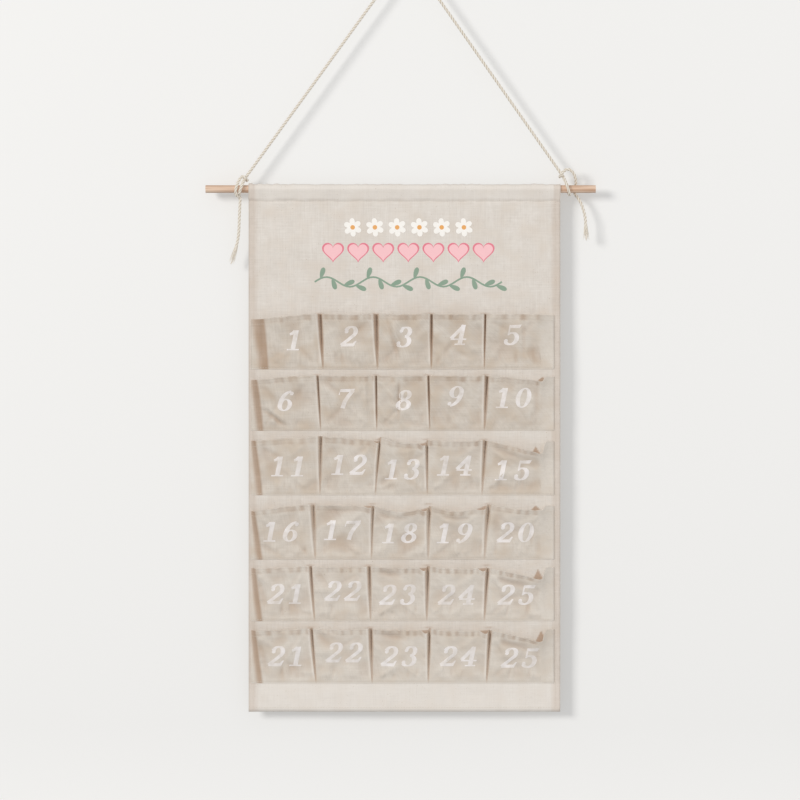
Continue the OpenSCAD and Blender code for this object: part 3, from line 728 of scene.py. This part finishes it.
# Creases that the photograph's pockets show: row, pocket, then mm from the pocket's left edge
# and its foot to the same at the other end, how wide, and how deep
madeCreases = [
    (1, 1, 6, 40, 14, 4, 4, 0.8), (1, 3, 8, 70, 30, 2, 2.6, -1.1), (1, 3, 14, 70, 36, 2, 3, 0.8),
    (1, 5, 48, 66, 50, 6, 2.2, -0.6),
    (2, 1, 1, 30, 34, 2, 2.6, -1.2), (2, 1, 4, 36, 40, 5, 3.2, 0.9), (2, 2, 3, 68, 28, 46, 4, -1),
    (2, 2, 60, 70, 58, 6, 2.6, 0.8), (2, 3, 28, 70, 27, 4, 1.8, -1.2), (2, 3, 20, 70, 19, 4, 4, 0.8),
    (2, 5, 60, 60, 66, 8, 3, -0.6),
    (3, 1, 8, 66, 20, 20, 6, -0.8), (3, 3, 2, 14, 30, 30, 5, -1), (3, 3, 34, 68, 40, 20, 3, 0.8),
    (3, 5, 4, 66, 46, 54, 5, -1.1), (3, 5, 46, 50, 50, 6, 2.4, -0.8),
    (4, 1, 2, 20, 22, 4, 4, -0.8), (4, 2, 10, 64, 60, 66, 4, -0.7), (4, 3, 6, 62, 50, 60, 4, -0.8),
    (4, 4, 8, 62, 56, 58, 4, -0.8), (4, 5, 6, 60, 14, 20, 5, -0.7), (4, 5, 54, 62, 58, 8, 2.2, -0.7),
    (5, 1, 2, 60, 8, 10, 4, -0.9), (5, 1, 4, 62, 20, 44, 4, 0.8), (5, 2, 4, 66, 22, 40, 5, -0.8),
    (5, 3, 6, 66, 44, 60, 4, -0.9), (5, 5, 4, 60, 56, 50, 6, -1.1), (5, 5, 50, 46, 56, 6, 2.4, -0.7),
    (6, 1, 2, 60, 10, 8, 4, -0.9), (6, 1, 4, 62, 24, 46, 4, 0.8), (6, 2, 4, 68, 24, 44, 5, -0.9),
    (6, 2, 8, 70, 34, 60, 3, 0.7), (6, 3, 6, 66, 46, 60, 4, -0.9), (6, 5, 4, 60, 56, 50, 6, -1.1),
    (6, 5, 10, 40, 40, 30, 6, 0.6)]
# Small upright folds that rise from the strip's sewn foot
footFolds = {"count": 5, "shortest": 8, "longest": 26, "depth": 0.5}


def stripRises():
    height, hem, band = strip["pocketHeight"], strip["footHem"], strip["mouthHem"]
    return np.concatenate([[0, 0.6, 1.2, 2.2, hem], np.linspace(hem + 1, 14, 8),
                           np.linspace(15.4, height - band - 1.4, 34),
                           np.linspace(height - band - 0.5, height - 1.4, 8),
                           [height - 0.7, height]])


def sewnSide(fold, corner, depth, wall, radius, way):
    # Points across one side of a pocket: from its fold out to its rounded front edge
    sideX, sideD = corner - fold, depth - wall
    length = np.sqrt(sideX ** 2 + sideD ** 2)
    back = np.minimum(radius / length, 0.45)
    flat = np.linspace(0, 1, 8)[:-1]
    turn = np.linspace(0, 1, 7)
    startX, startD = fold + sideX * (1 - back), wall + sideD * (1 - back)
    turnX = ((1 - turn) ** 2 * startX + 2 * turn * (1 - turn) * corner
             + turn ** 2 * (corner + way * radius))
    turnD = (1 - turn) ** 2 * startD + (1 - (1 - turn) ** 2) * depth
    return (np.concatenate([fold + sideX * (1 - back) * flat, turnX], axis=1),
            np.concatenate([wall + sideD * (1 - back) * flat, turnD], axis=1))


def pocketCreases(row, pocket, seed):
    creases = [c[2:] for c in madeCreases if c[:2] == (row + 1, pocket + 1)]
    draw = random.Random(seed + 5)
    for _ in range(3):
        # A soft pull from a sewn corner towards the middle
        fromX = draw.choice([4, 62])
        fromZ = draw.choice([6, 64])
        creases.append((fromX, fromZ, 34 + draw.uniform(-10, 10), 36 + draw.uniform(-12, 12),
                        draw.uniform(2.5, 5), draw.choice([-0.5, 0.5])))
    for _ in range(footFolds["count"]):
        fromX = draw.uniform(3, 66)
        creases.append((fromX, 2, fromX + draw.uniform(-3, 3),
                        2 + draw.uniform(footFolds["shortest"], footFolds["longest"]),
                        draw.uniform(1.3, 2.6), draw.choice([-1, 1]) * footFolds["depth"]))
    return creases


def pocketBlock(row, pocket, rise):
    # One pocket: its points, how much painted brown shade each has, and how much painted light
    height, hem, wall = strip["pocketHeight"], strip["footHem"], strip["thickness"]
    high = rise / height
    t = np.clip((rise - hem) / (height - hem), 0, 1)
    depth = (strip["footDepth"] + strip["footRoll"] * smooth(0, 2.2, rise)
             + strip["hemRoll"] * smooth(2, hem, rise)
             + (strip["pocketDepth"] - 2 * wall) * t ** strip["flare"])
    sewn = np.minimum(0.8 * wall, 0.8 * depth)
    seed = 1000 + 100 * min(row, rowCount - 2) + 10 * pocket
    x0, x1 = foldX(row, pocket, high), foldX(row, pocket + 1, high)
    bow = random.Random(seed).uniform(-0.8, 0.8) * np.sin(np.pi * high)
    c0 = x0 + foldSide(row, pocket, high) + np.maximum(bow, 0)
    c1 = x1 - foldSide(row, pocket + 1, high) + np.minimum(bow, 0)
    radius = np.minimum(strip["round"], 0.42 * depth)
    lifted = sewn + foldLift[row] * (depth - sewn) * np.sin(np.pi * high) ** 0.5
    startX, startD = sewnSide(x0, c0, depth, sewn if pocket == 0 else lifted, radius, 1)
    endX, endD = sewnSide(x1, c1, depth, sewn if pocket == pocketCount - 1 else lifted, radius, -1)
    if pocket == 0:
        # The strip's left end lies flat, and the pleat rises from it beside the pocket's face
        knee = 0.6 - 0.5 * high
        rising = smooth(knee - 0.2, 1, (startX - x0) / (c0 - x0))
        startD = sewn + (startD - sewn) * rising
        startD[:, :1] *= 0.5
    if pocket == pocketCount - 1:
        endD[:, :1] *= 0.5
    across = np.linspace(0, 1, strip["faceColumns"] + 2)[1:-1]
    faceX = (c0 + radius) + (c1 - c0 - 2 * radius) * across
    x = np.concatenate([startX, faceX, endX[:, ::-1]], axis=1)
    d = np.concatenate([startD, depth + 0 * faceX, endD[:, ::-1]], axis=1)
    edge = startX.shape[1]
    onFace = np.concatenate([np.linspace(0, 1, edge) ** 3, np.ones(len(across)),
                             np.linspace(1, 0, edge) ** 3])[None, :]
    share = np.clip((x - c0) / (c1 - c0), 0, 1)
    u = x - c0
    drop = dropAt(mouthDrop[row][pocket], share)
    if pocket == pocketCount - 1:
        # The strip's end stays up against the panel where the mouth beside it sags
        beyond = smooth(c1 + 4, c1 + 9, x)
        drop = drop * (1 - beyond) + 1.5 * beyond
    for gapeRow, gapePocket, wide, deep in cornerGapes:
        if (gapeRow, gapePocket) == (row + 1, pocket + 1):
            drop = drop + deep * smooth(-wide, -2, x - c1) * (1 - smooth(0, 4, x - c1))
    free = np.sin(np.pi * share) ** 0.6
    sway, crumple = waves(seed + 3, 6, 30, 80), waves(seed + 2, 10, 8, 20)
    pucker = waves(seed + 4, 7, 6, 14, (1, 0.15))(u, rise)
    grown = smooth(0.5 * hem, hem + 8, rise)
    folds = sharpFolds(seed + 8, 5, 34, 80)(u, rise)
    crease = creaseHeight(pocketCreases(row, pocket, seed), u, rise)
    relief = strip["sway"] * sway(u, rise) * (0.3 + 0.7 * free) + strip["fold"] * folds
    push = onFace * grown * (relief + strip["creaseDepth"] * crease
                             + strip["crumple"] * crumple(u, rise))
    nearMouth = np.exp(-(height - rise) / 9)
    push = push * (1 - 0.4 * nearMouth)
    push += onFace * strip["pucker"] * pucker * nearMouth * (0.4 + 0.6 * free)
    # The hem's fold at the rim, and the line of stitches that draws the cloth in below it
    push += onFace * strip["rimRoll"] * smooth(height - 2.2, height - 0.7, rise)
    push -= onFace * strip["hemLine"] * np.exp(-((rise - height + strip["mouthHem"]) / 1.1) ** 2)
    ragged = waves(seed + 6, 6, 9, 30)(x, 0 * x) * onFace
    z = rowFeet[row] + rise - drop * high ** 2 + strip["ragged"] * ragged * high ** 4
    # Painted warm shade down in the folds between the pockets
    sunk = 1 - (d - sewn) / (depth - sewn)
    shade = smooth(0.02, 0.42, sunk) * smooth(-4, 8, rise) * foldBrowns[row]
    d = np.maximum(d + push, np.minimum(wall + 0.05, depth))
    rim = smooth(height - 1.6, height - 0.4, rise) * onFace
    # Painted light: paler rows, a paler rim at the mouth and a paler foot
    lights = rowLights[row] + strip["rimLight"] * rim + strip["footLight"] * smooth(2.4, 0.4, rise)
    if pocket < pocketCount - 1:
        # Painted highlight along the fold's left edge
        fromEdge = np.exp(-((x - c1 + 1) / 1.2) ** 2)
        lights = lights + strip["foldLight"] * fromEdge * smooth(2, 12, rise)
    else:
        # Painted light on the strip's right end
        lights = lights * (1 - 0.7 * smooth(c1, c1 + 6, x))
        lights = lights + strip["endLight"] * smooth(c1 - 5, c1 + 6, x)
    if pocket == 0:
        # Painted shade on the left pleat, most where it meets the pocket's face
        s = (x - x0) / (c0 - x0)
        pleat = smooth(knee - 0.3, knee + 0.2, s) * (1 - smooth(c0 - 1, c0 + 3, x))
        outer, more = strip["pleatShade"]
        shade = np.where(x < c0 + 4, (outer + more * s) * pleat, shade)
    if pocket == pocketCount - 1:
        shade = shade * (1 - smooth(c1 - 3, c1, x))
    # Painted shade in the hem's band below the rim, more in its puckers
    band = smooth(height - 9.5, height - 6, rise) * (1 - 0.6 * smooth(height - 2, height, rise))
    shade = np.maximum(shade, onFace * band * np.clip(0.13 + 0.15 * pucker, 0, 0.4))
    # Painted shade in the hollows of the creases and the waves
    hollow = np.clip(-0.22 * crease, 0, 0.3) + np.clip(-0.09 * relief, 0, 0.2)
    shade = np.maximum(shade, onFace * grown * hollow)
    return np.stack([x, panelFront(x, z) - d, z], axis=-1), shade, lights + 0 * x


def makePocketRow(row):
    rise = stripRises()[:, None]
    blocks = []
    for pocket in range(pocketCount):
        last = None if pocket == pocketCount - 1 else -1
        blocks.append([part[:, :last] for part in pocketBlock(row, pocket, rise)])
    points, shades, lights = (np.concatenate(parts, axis=1) for parts in zip(*blocks))
    steps = np.linalg.norm(np.diff(points, axis=1), axis=-1)
    run = np.concatenate([np.zeros((len(rise), 1)), np.cumsum(steps, axis=1)], axis=1)
    places = np.stack([run, rise + 0 * run + row * strip["pocketHeight"]], axis=-1)
    piece, tree = clothPiece(f"pocketRow{row + 1}", points, [(points, places, shades, lights)],
                             pocketCloth, strip["thickness"])
    cutSize = (run[-1, -1] * mm,
               (strip["pocketHeight"] + strip["footHem"] + strip["mouthHem"]) * mm)
    return piece, tree, points, cutSize


# Printed shapes: each lies on the cloth where its own solid does

printed = {"lift": 0.12, "numberStep": 2, "headingStep": 3}  # mm off the cloth, and of mesh


def drapedPrint(name, node, tree, material, step):
    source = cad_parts[node]
    shape = bmesh.new()
    shape.from_mesh(source.data)
    bmesh.ops.remove_doubles(shape, verts=shape.verts, dist=0.00001)
    shape.normal_update()
    hidden = [face for face in shape.faces if face.normal.y > -0.5]
    bmesh.ops.delete(shape, geom=hidden, context="FACES")
    xs = [v.co.x for v in shape.verts]
    zs = [v.co.z for v in shape.verts]
    for values, normal in ((xs, (1, 0, 0)), (zs, (0, 0, 1))):
        for place in np.arange(min(values) + step * mm / 2, max(values), step * mm):
            bmesh.ops.bisect_plane(shape, geom=shape.verts[:] + shape.edges[:] + shape.faces[:],
                                   plane_co=Vector(normal) * place, plane_no=normal)
    for point in shape.verts:
        hit, _ = castBack(tree, point.co.x, point.co.z)
        if hit:
            point.co.y = hit.y - printed["lift"] * mm
    mesh = bpy.data.meshes.new(name)
    shape.to_mesh(mesh)
    shape.free()
    places = [(v.co.x - leftX * mm, v.co.z) for v in mesh.vertices]
    setPlaces(mesh, places, [0] * len(mesh.vertices))
    piece = newObject(name, mesh, material)
    standFor(piece, node)


# Cord: three strands twisted together

cord = {
    "diameter": 4, "twist": 15, "strands": 3, "strandReach": 0.44, "sides": 24,
    "ringStep": 1.0, "knotStep": 0.7,  # mm between rings
}
cordRoute = [(-211, 0, -283), (-160, 0, -212.7), (-109, 0, -142.5), (-58, 0, -72.2),
             (-6.5, 0, -1.3), (-4.7, 0, 0.5), (-2.5, 0, 1.6), (0, 0, 2), (2.5, 0, 1.6),
             (4.7, 0, 0.5), (6.5, 0, -1.4), (56, 0, -72.1), (105, 0, -142), (154, 0, -212),
             (203, 0, -282)]
# A knot goes round the dowel, behind its own leg and round that, and comes down as the cut end
knotLeftRoute = [(-211, 0, -283), (-212.6, -2, -286.2), (-214, -5.4, -290),
                 (-215.6, -7.6, -294.6), (-217.4, -7.8, -299.4), (-218.8, -5.4, -304),
                 (-219.4, -0.2, -305.6), (-218.8, 5, -303.2), (-217.8, 7.7, -298),
                 (-216.4, 6.8, -292.8), (-215.2, 5.6, -289.4), (-212.4, 4.2, -285.6),
                 (-208.8, 0, -286.8), (-211, -4.3, -283.6), (-214.4, -3.8, -282),
                 (-217.8, -4, -284.6), (-220.2, -6, -289.6), (-222.2, -7.8, -294.8),
                 (-223.4, -8, -300), (-223.2, -5.8, -304.8), (-221, -2.6, -308),
                 (-218, 0, -309)]
knotRightRoute = [(203, 0, -282), (204.4, -2.2, -285.8), (205.8, -5.6, -290),
                  (207.4, -7.7, -294.8), (209.2, -7.7, -299.8), (210.6, -5, -304.2),
                  (211, 0.2, -305.6), (210.6, 5.4, -303), (209.8, 7.7, -298),
                  (208.6, 6.8, -293), (206, 5.6, -287.6), (201.9, 4.1, -280.4),
                  (198.1, 0, -282.1), (200.75, -4.1, -278.8), (202.9, -2.6, -275.6),
                  (207, -2.6, -272.8), (211.8, -2.4, -273.4), (216, -1.4, -277.4),
                  (218.6, 0.6, -283), (219.6, 4.2, -289), (219.6, 7.4, -295),
                  (218.8, 7.6, -300.6), (218, 6, -304)]
tailLeftRoute = [(-218, 0, -309), (-219, -1, -334), (-221, -1, -364), (-230, -1, -396)]
tailRightRoute = [(218, 6, -304), (222, 4.6, -309), (227, 3, -318), (231, 1, -332),
                  (232, 0, -342), (233, 0, -365)]
fray = {
    "yarns": 46, "yarnRadius": 0.24, "yarnSides": 5, "spread": 3.4,  # mm
    "left": {"from": 0.64, "seed": 31},  # the share of the cut end where its strands loosen
    "right": {"from": 0.6, "seed": 37},
    "thinned": 0.62,  # how much of the strands' thickness goes over to the loose yarns
}


def curvePoints(route, step, taut=False):
    # Points every step mm along a smooth curve through the route; a taut one keeps straight legs
    route = [np.array(point, float) for point in route]
    fine = []
    for i in range(len(route) - 1):
        a, b = route[i], route[i + 1]
        before, after = route[max(i - 1, 0)], route[min(i + 2, len(route) - 1)]
        for t in np.linspace(0, 1, 60, endpoint=False):
            if taut:
                fine.append(a + (b - a) * t)
            else:
                fine.append(0.5 * (2 * a + (b - before) * t
                                   + (2 * before - 5 * a + 4 * b - after) * t ** 2
                                   + (3 * a - before - 3 * b + after) * t ** 3))
    fine = np.array(fine + [route[-1]])
    run = runAlong(fine)
    targets = np.linspace(0, run[-1], max(2, round(run[-1] / step) + 1))
    points = np.stack([np.interp(targets, run, fine[:, axis]) for axis in range(3)], axis=1)
    for _ in range(6 if taut else 0):
        points[1:-1] = (points[:-2] + 2 * points[1:-1] + points[2:]) / 4
    return points


def pathFrames(points):
    # Two directions across the path at each point, turned as little as can be
    ahead = np.gradient(points, axis=0)
    ahead /= np.linalg.norm(ahead, axis=1)[:, None]
    side = np.cross(ahead[0], (0, 1, 0) if abs(ahead[0][1]) < 0.8 else (1, 0, 0))
    sides = []
    for direction in ahead:
        side = side - direction * np.dot(side, direction)
        side /= np.linalg.norm(side)
        sides.append(side)
    sides = np.array(sides)
    return sides, np.cross(ahead, sides)


def ropeMesh(name, points, ends):
    # The strands' outline turns along the path; ends thins it where it loosens
    across, up = pathFrames(points)
    run, sides, radius = runAlong(points), cord["sides"], cord["diameter"] / 2
    angle = np.arange(sides) * math.tau / sides
    turn = math.tau * run / cord["twist"]
    lobe = math.tau / cord["strands"]
    fromStrand = (angle[None, :] - turn[:, None] + lobe / 2) % lobe - lobe / 2
    reach = cord["strandReach"]
    shape = reach * np.cos(fromStrand) + np.sqrt(
        np.maximum((1 - reach) ** 2 - (reach * np.sin(fromStrand)) ** 2, 0.01))
    size = radius * shape
    if ends is not None:
        size = size * ends[:, None]
    ring = ringPoints(points, size, across, up, angle)
    places = np.stack([np.repeat(run[:, None], sides, axis=1),
                       fromStrand * radius + 3 * radius], axis=-1)
    # Painted shade in the grooves between the strands
    shades = np.clip((1 - shape) / 0.36, 0, 1) ** 1.5
    return meshFrom(name, ring.reshape(-1, 3) * mm, ringFaces(len(points), sides),
                    places.reshape(-1, 2) * mm, shades.ravel())


def makeRope(name, points, ends=None):
    mesh = ropeMesh(name, points, ends)
    shape = bmesh.new()
    shape.from_mesh(mesh)
    bmesh.ops.holes_fill(shape, edges=[e for e in shape.edges if e.is_boundary], sides=0)
    bmesh.ops.recalc_face_normals(shape, faces=shape.faces)
    shape.to_mesh(mesh)
    shape.free()
    return newObject(name, mesh, cordCotton)


def makeFray(name, points, seed):
    # The unlaid end: loose yarns that spread out and wave a little
    draw = random.Random(seed)
    across, up = pathFrames(points)
    run = np.linspace(0, 1, len(points))
    allPoints, allFaces, allPlaces, allShades = [], [], [], []
    total, sides = 0, fray["yarnSides"]
    for _ in range(fray["yarns"]):
        angle, far = draw.uniform(0, math.tau), math.sqrt(draw.random())
        spread = 0.4 + fray["spread"] * far * run ** 1.3
        wander = angle + 0.9 * np.sin(run * draw.uniform(2, 6) + draw.uniform(0, 6)) * run
        length = draw.uniform(0.72, 1)
        keep = run <= length
        line = points + (0.9 * far + spread)[:, None] * (
            np.cos(wander)[:, None] * across + np.sin(wander)[:, None] * up * 0.7)
        line = line[keep]
        if len(line) < 4:
            continue
        sideA, sideB = pathFrames(line)
        thin = fray["yarnRadius"] * np.linspace(1, 0.45, len(line))
        around = np.arange(sides) * math.tau / sides
        ring = ringPoints(line, thin[:, None], sideA, sideB, around)
        allFaces.append(ringFaces(len(line), sides, total))
        allPoints.append(ring.reshape(-1, 3))
        allPlaces.append(np.stack([np.repeat(run[keep][:, None] * 30, sides, axis=1),
                                   np.repeat((around / 6)[None, :], len(line), axis=0)],
                                  axis=-1).reshape(-1, 2))
        allShades.append(np.full(len(line) * sides, 0.12))
        total += len(line) * sides
    mesh = meshFrom(name, np.concatenate(allPoints) * mm, np.concatenate(allFaces),
                    np.concatenate(allPlaces) * mm, np.concatenate(allShades))
    return newObject(name, mesh, cordCotton)


# Stitches: short thread capsules along a line on the cloth

stitch = {
    "length": 2.6, "gap": 0.9, "radius": 0.22, "sink": 0.07, "sides": 6,
    "footLevel": 3, "mouthLevel": 10,  # levels of the strip's grid, from its foot and its mouth
    "fromEdge": 6.6, "fromFoot": 5.6,  # mm on the panel
}


class StitchBox:
    def __init__(self):
        self.points, self.faces, self.count = [], [], 0

    def run(self, line, normals):
        run = runAlong(line)
        pitch = stitch["length"] + stitch["gap"]
        for start in np.arange(stitch["gap"], run[-1] - stitch["length"], pitch):
            at = start + stitch["length"] * np.array([0, 0.18, 0.5, 0.82, 1])
            centre = np.stack([np.interp(at, run, line[:, k]) for k in range(3)], axis=1)
            normal = np.array([np.interp(at[2], run, normals[:, k]) for k in range(3)])
            normal /= np.linalg.norm(normal) + 1e-9
            arch = np.array([-0.5, 0.5, 0.75, 0.5, -0.5]) * stitch["radius"]
            centre = centre + normal * (arch - stitch["sink"])[:, None]
            ahead = centre[-1] - centre[0]
            ahead /= np.linalg.norm(ahead)
            side = np.cross(ahead, normal)
            size = stitch["radius"] * np.array([0.35, 0.95, 1, 0.95, 0.35])
            around = np.arange(stitch["sides"]) * math.tau / stitch["sides"]
            ring = ringPoints(centre, size[:, None], side[None], normal[None], around)
            self.faces.append(ringFaces(len(at), stitch["sides"], self.count))
            self.points.append(ring.reshape(-1, 3))
            self.count += len(at) * stitch["sides"]

    def piece(self, name):
        points = np.concatenate(self.points)
        mesh = meshFrom(name, points * mm, np.concatenate(self.faces),
                        points[:, [0, 2]] * mm, np.zeros(len(points)))
        return newObject(name, mesh, seamThread)


def lineOnTree(tree, places):
    # A line of (x, z) places laid on a cloth, with the cloth's normals
    line, normals = [], []
    for x, z in places:
        hit, normal = castBack(tree, x * mm, z * mm)
        if hit:
            line.append(np.array(hit) / mm)
            way = np.array(normal)
            normals.append(way if way[1] < 0 else -way)
    return np.array(line), np.array(normals)


# Putting it together

backPanel, panelTree, panelCut = makePanel()
standFor(backPanel, "back_panel")
print("panel made")

seams = StitchBox()
for row in range(rowCount):
    rowPiece, rowTree, rowPoints, rowCut = makePocketRow(row)
    standFor(rowPiece, f"pocket_row_{row + 1}")
    for level in (stitch["footLevel"], rowPoints.shape[0] - stitch["mouthLevel"]):
        line = rowPoints[level]
        outward = np.cross(np.gradient(line, axis=0), rowPoints[level + 1] - rowPoints[level - 1])
        outward /= np.linalg.norm(outward, axis=1)[:, None] + 1e-9
        outward = np.where(outward[:, 1:2] > 0.2, -outward, outward)
        seams.run(line, outward)
    drapedPrint(f"numbersRow{row + 1}", f"numbers_row_{row + 1}", rowTree,
                inkMaterials["numberInk"], printed["numberStep"])
    print("pocket row", row + 1, "made")

for pieceName, node, inkName in (
        ("daisyPetals", "daisy_petals", "petalInk"), ("daisyEyes", "daisy_eyes", "eyeInk"),
        ("heartShapes", "hearts", "heartInk"), ("heartOutlines", "heart_outlines", "heartLineInk"),
        ("leafVine", "leaf_vine", "vineInk")):
    drapedPrint(pieceName, node, panelTree, inkMaterials[inkName], printed["headingStep"])
print("heading made")

panelRuns = [
    [(x, seamZ + 0.4) for x in np.arange(leftX + 1, rightX - 1, 2)],
    [(leftX + stitch["fromEdge"], z) for z in np.arange(footZ + 2, seamZ, 4)],
    [(rightX - stitch["fromEdge"], z) for z in np.arange(footZ + 2, seamZ, 4)],
    [(x, footZ + stitch["fromFoot"]) for x in np.arange(leftX + 1, rightX - 1, 2)]]
for places in panelRuns:
    seams.run(*lineOnTree(panelTree, places))
standFor(seams.piece("seamStitches"))
print("stitches made:", len(seams.faces))

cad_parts["dowel"].data.materials.clear()
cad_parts["dowel"].data.materials.append(dowelWood)


cordLine = curvePoints(cordRoute, cord["ringStep"], taut=True)
hangingCord = makeRope("hangingCord", cordLine)
standFor(hangingCord, "hanging_cord")
knots = []
for name, node, route in (("knotLeft", "knot_left", knotLeftRoute),
                          ("knotRight", "knot_right", knotRightRoute)):
    knots.append(makeRope(name, curvePoints(route, cord["knotStep"])))
    standFor(knots[-1], node)
for side, route, node in (("left", tailLeftRoute, "tail_left"),
                          ("right", tailRightRoute, "tail_right")):
    line = curvePoints(route, cord["ringStep"])
    # Past the cut the strands loosen and thin out among the loose yarns
    start, seed = fray[side]["from"], fray[side]["seed"]
    thin = 1 - fray["thinned"] * smooth(start, 1, np.linspace(0, 1, len(line)))
    tail = makeRope(f"{side}Tail", line, thin)
    yarns = makeFray(f"{side}Fray", line[round(len(line) * start) - 3:], seed)
    standFor(tail, node)
    standFor(yarns)
print("cord made")


def makeBackdrop():
    wallY = studio["wallY"] * mm
    radius = studio["coveRadius"]
    profile = [(wallY, studio["wallTop"]), (wallY, studio["floorZ"] + radius)]
    profile += [(wallY - radius + radius * math.cos(a), studio["floorZ"] + radius
                 - radius * math.sin(a)) for a in np.linspace(0.1, math.pi / 2, 12)]
    profile.append((-studio["floorReach"], studio["floorZ"]))
    points = [(x, y, z) for y, z in profile
              for x in (-studio["wallWidth"] / 2, studio["wallWidth"] / 2)]
    faces = [(2 * i, 2 * i + 2, 2 * i + 3, 2 * i + 1) for i in range(len(profile) - 1)]
    mesh = bpy.data.meshes.new("backdrop")
    mesh.from_pydata(points, [], faces)
    piece = newObject("backdrop", mesh, makeWallPaint())
    # It takes the calendar's shadow, and leaves the light behind it alone
    piece.visible_diffuse = False
    piece.visible_glossy = False
    piece.visible_transmission = False
    piece.visible_shadow = False


makeBackdrop()
print("backdrop made")
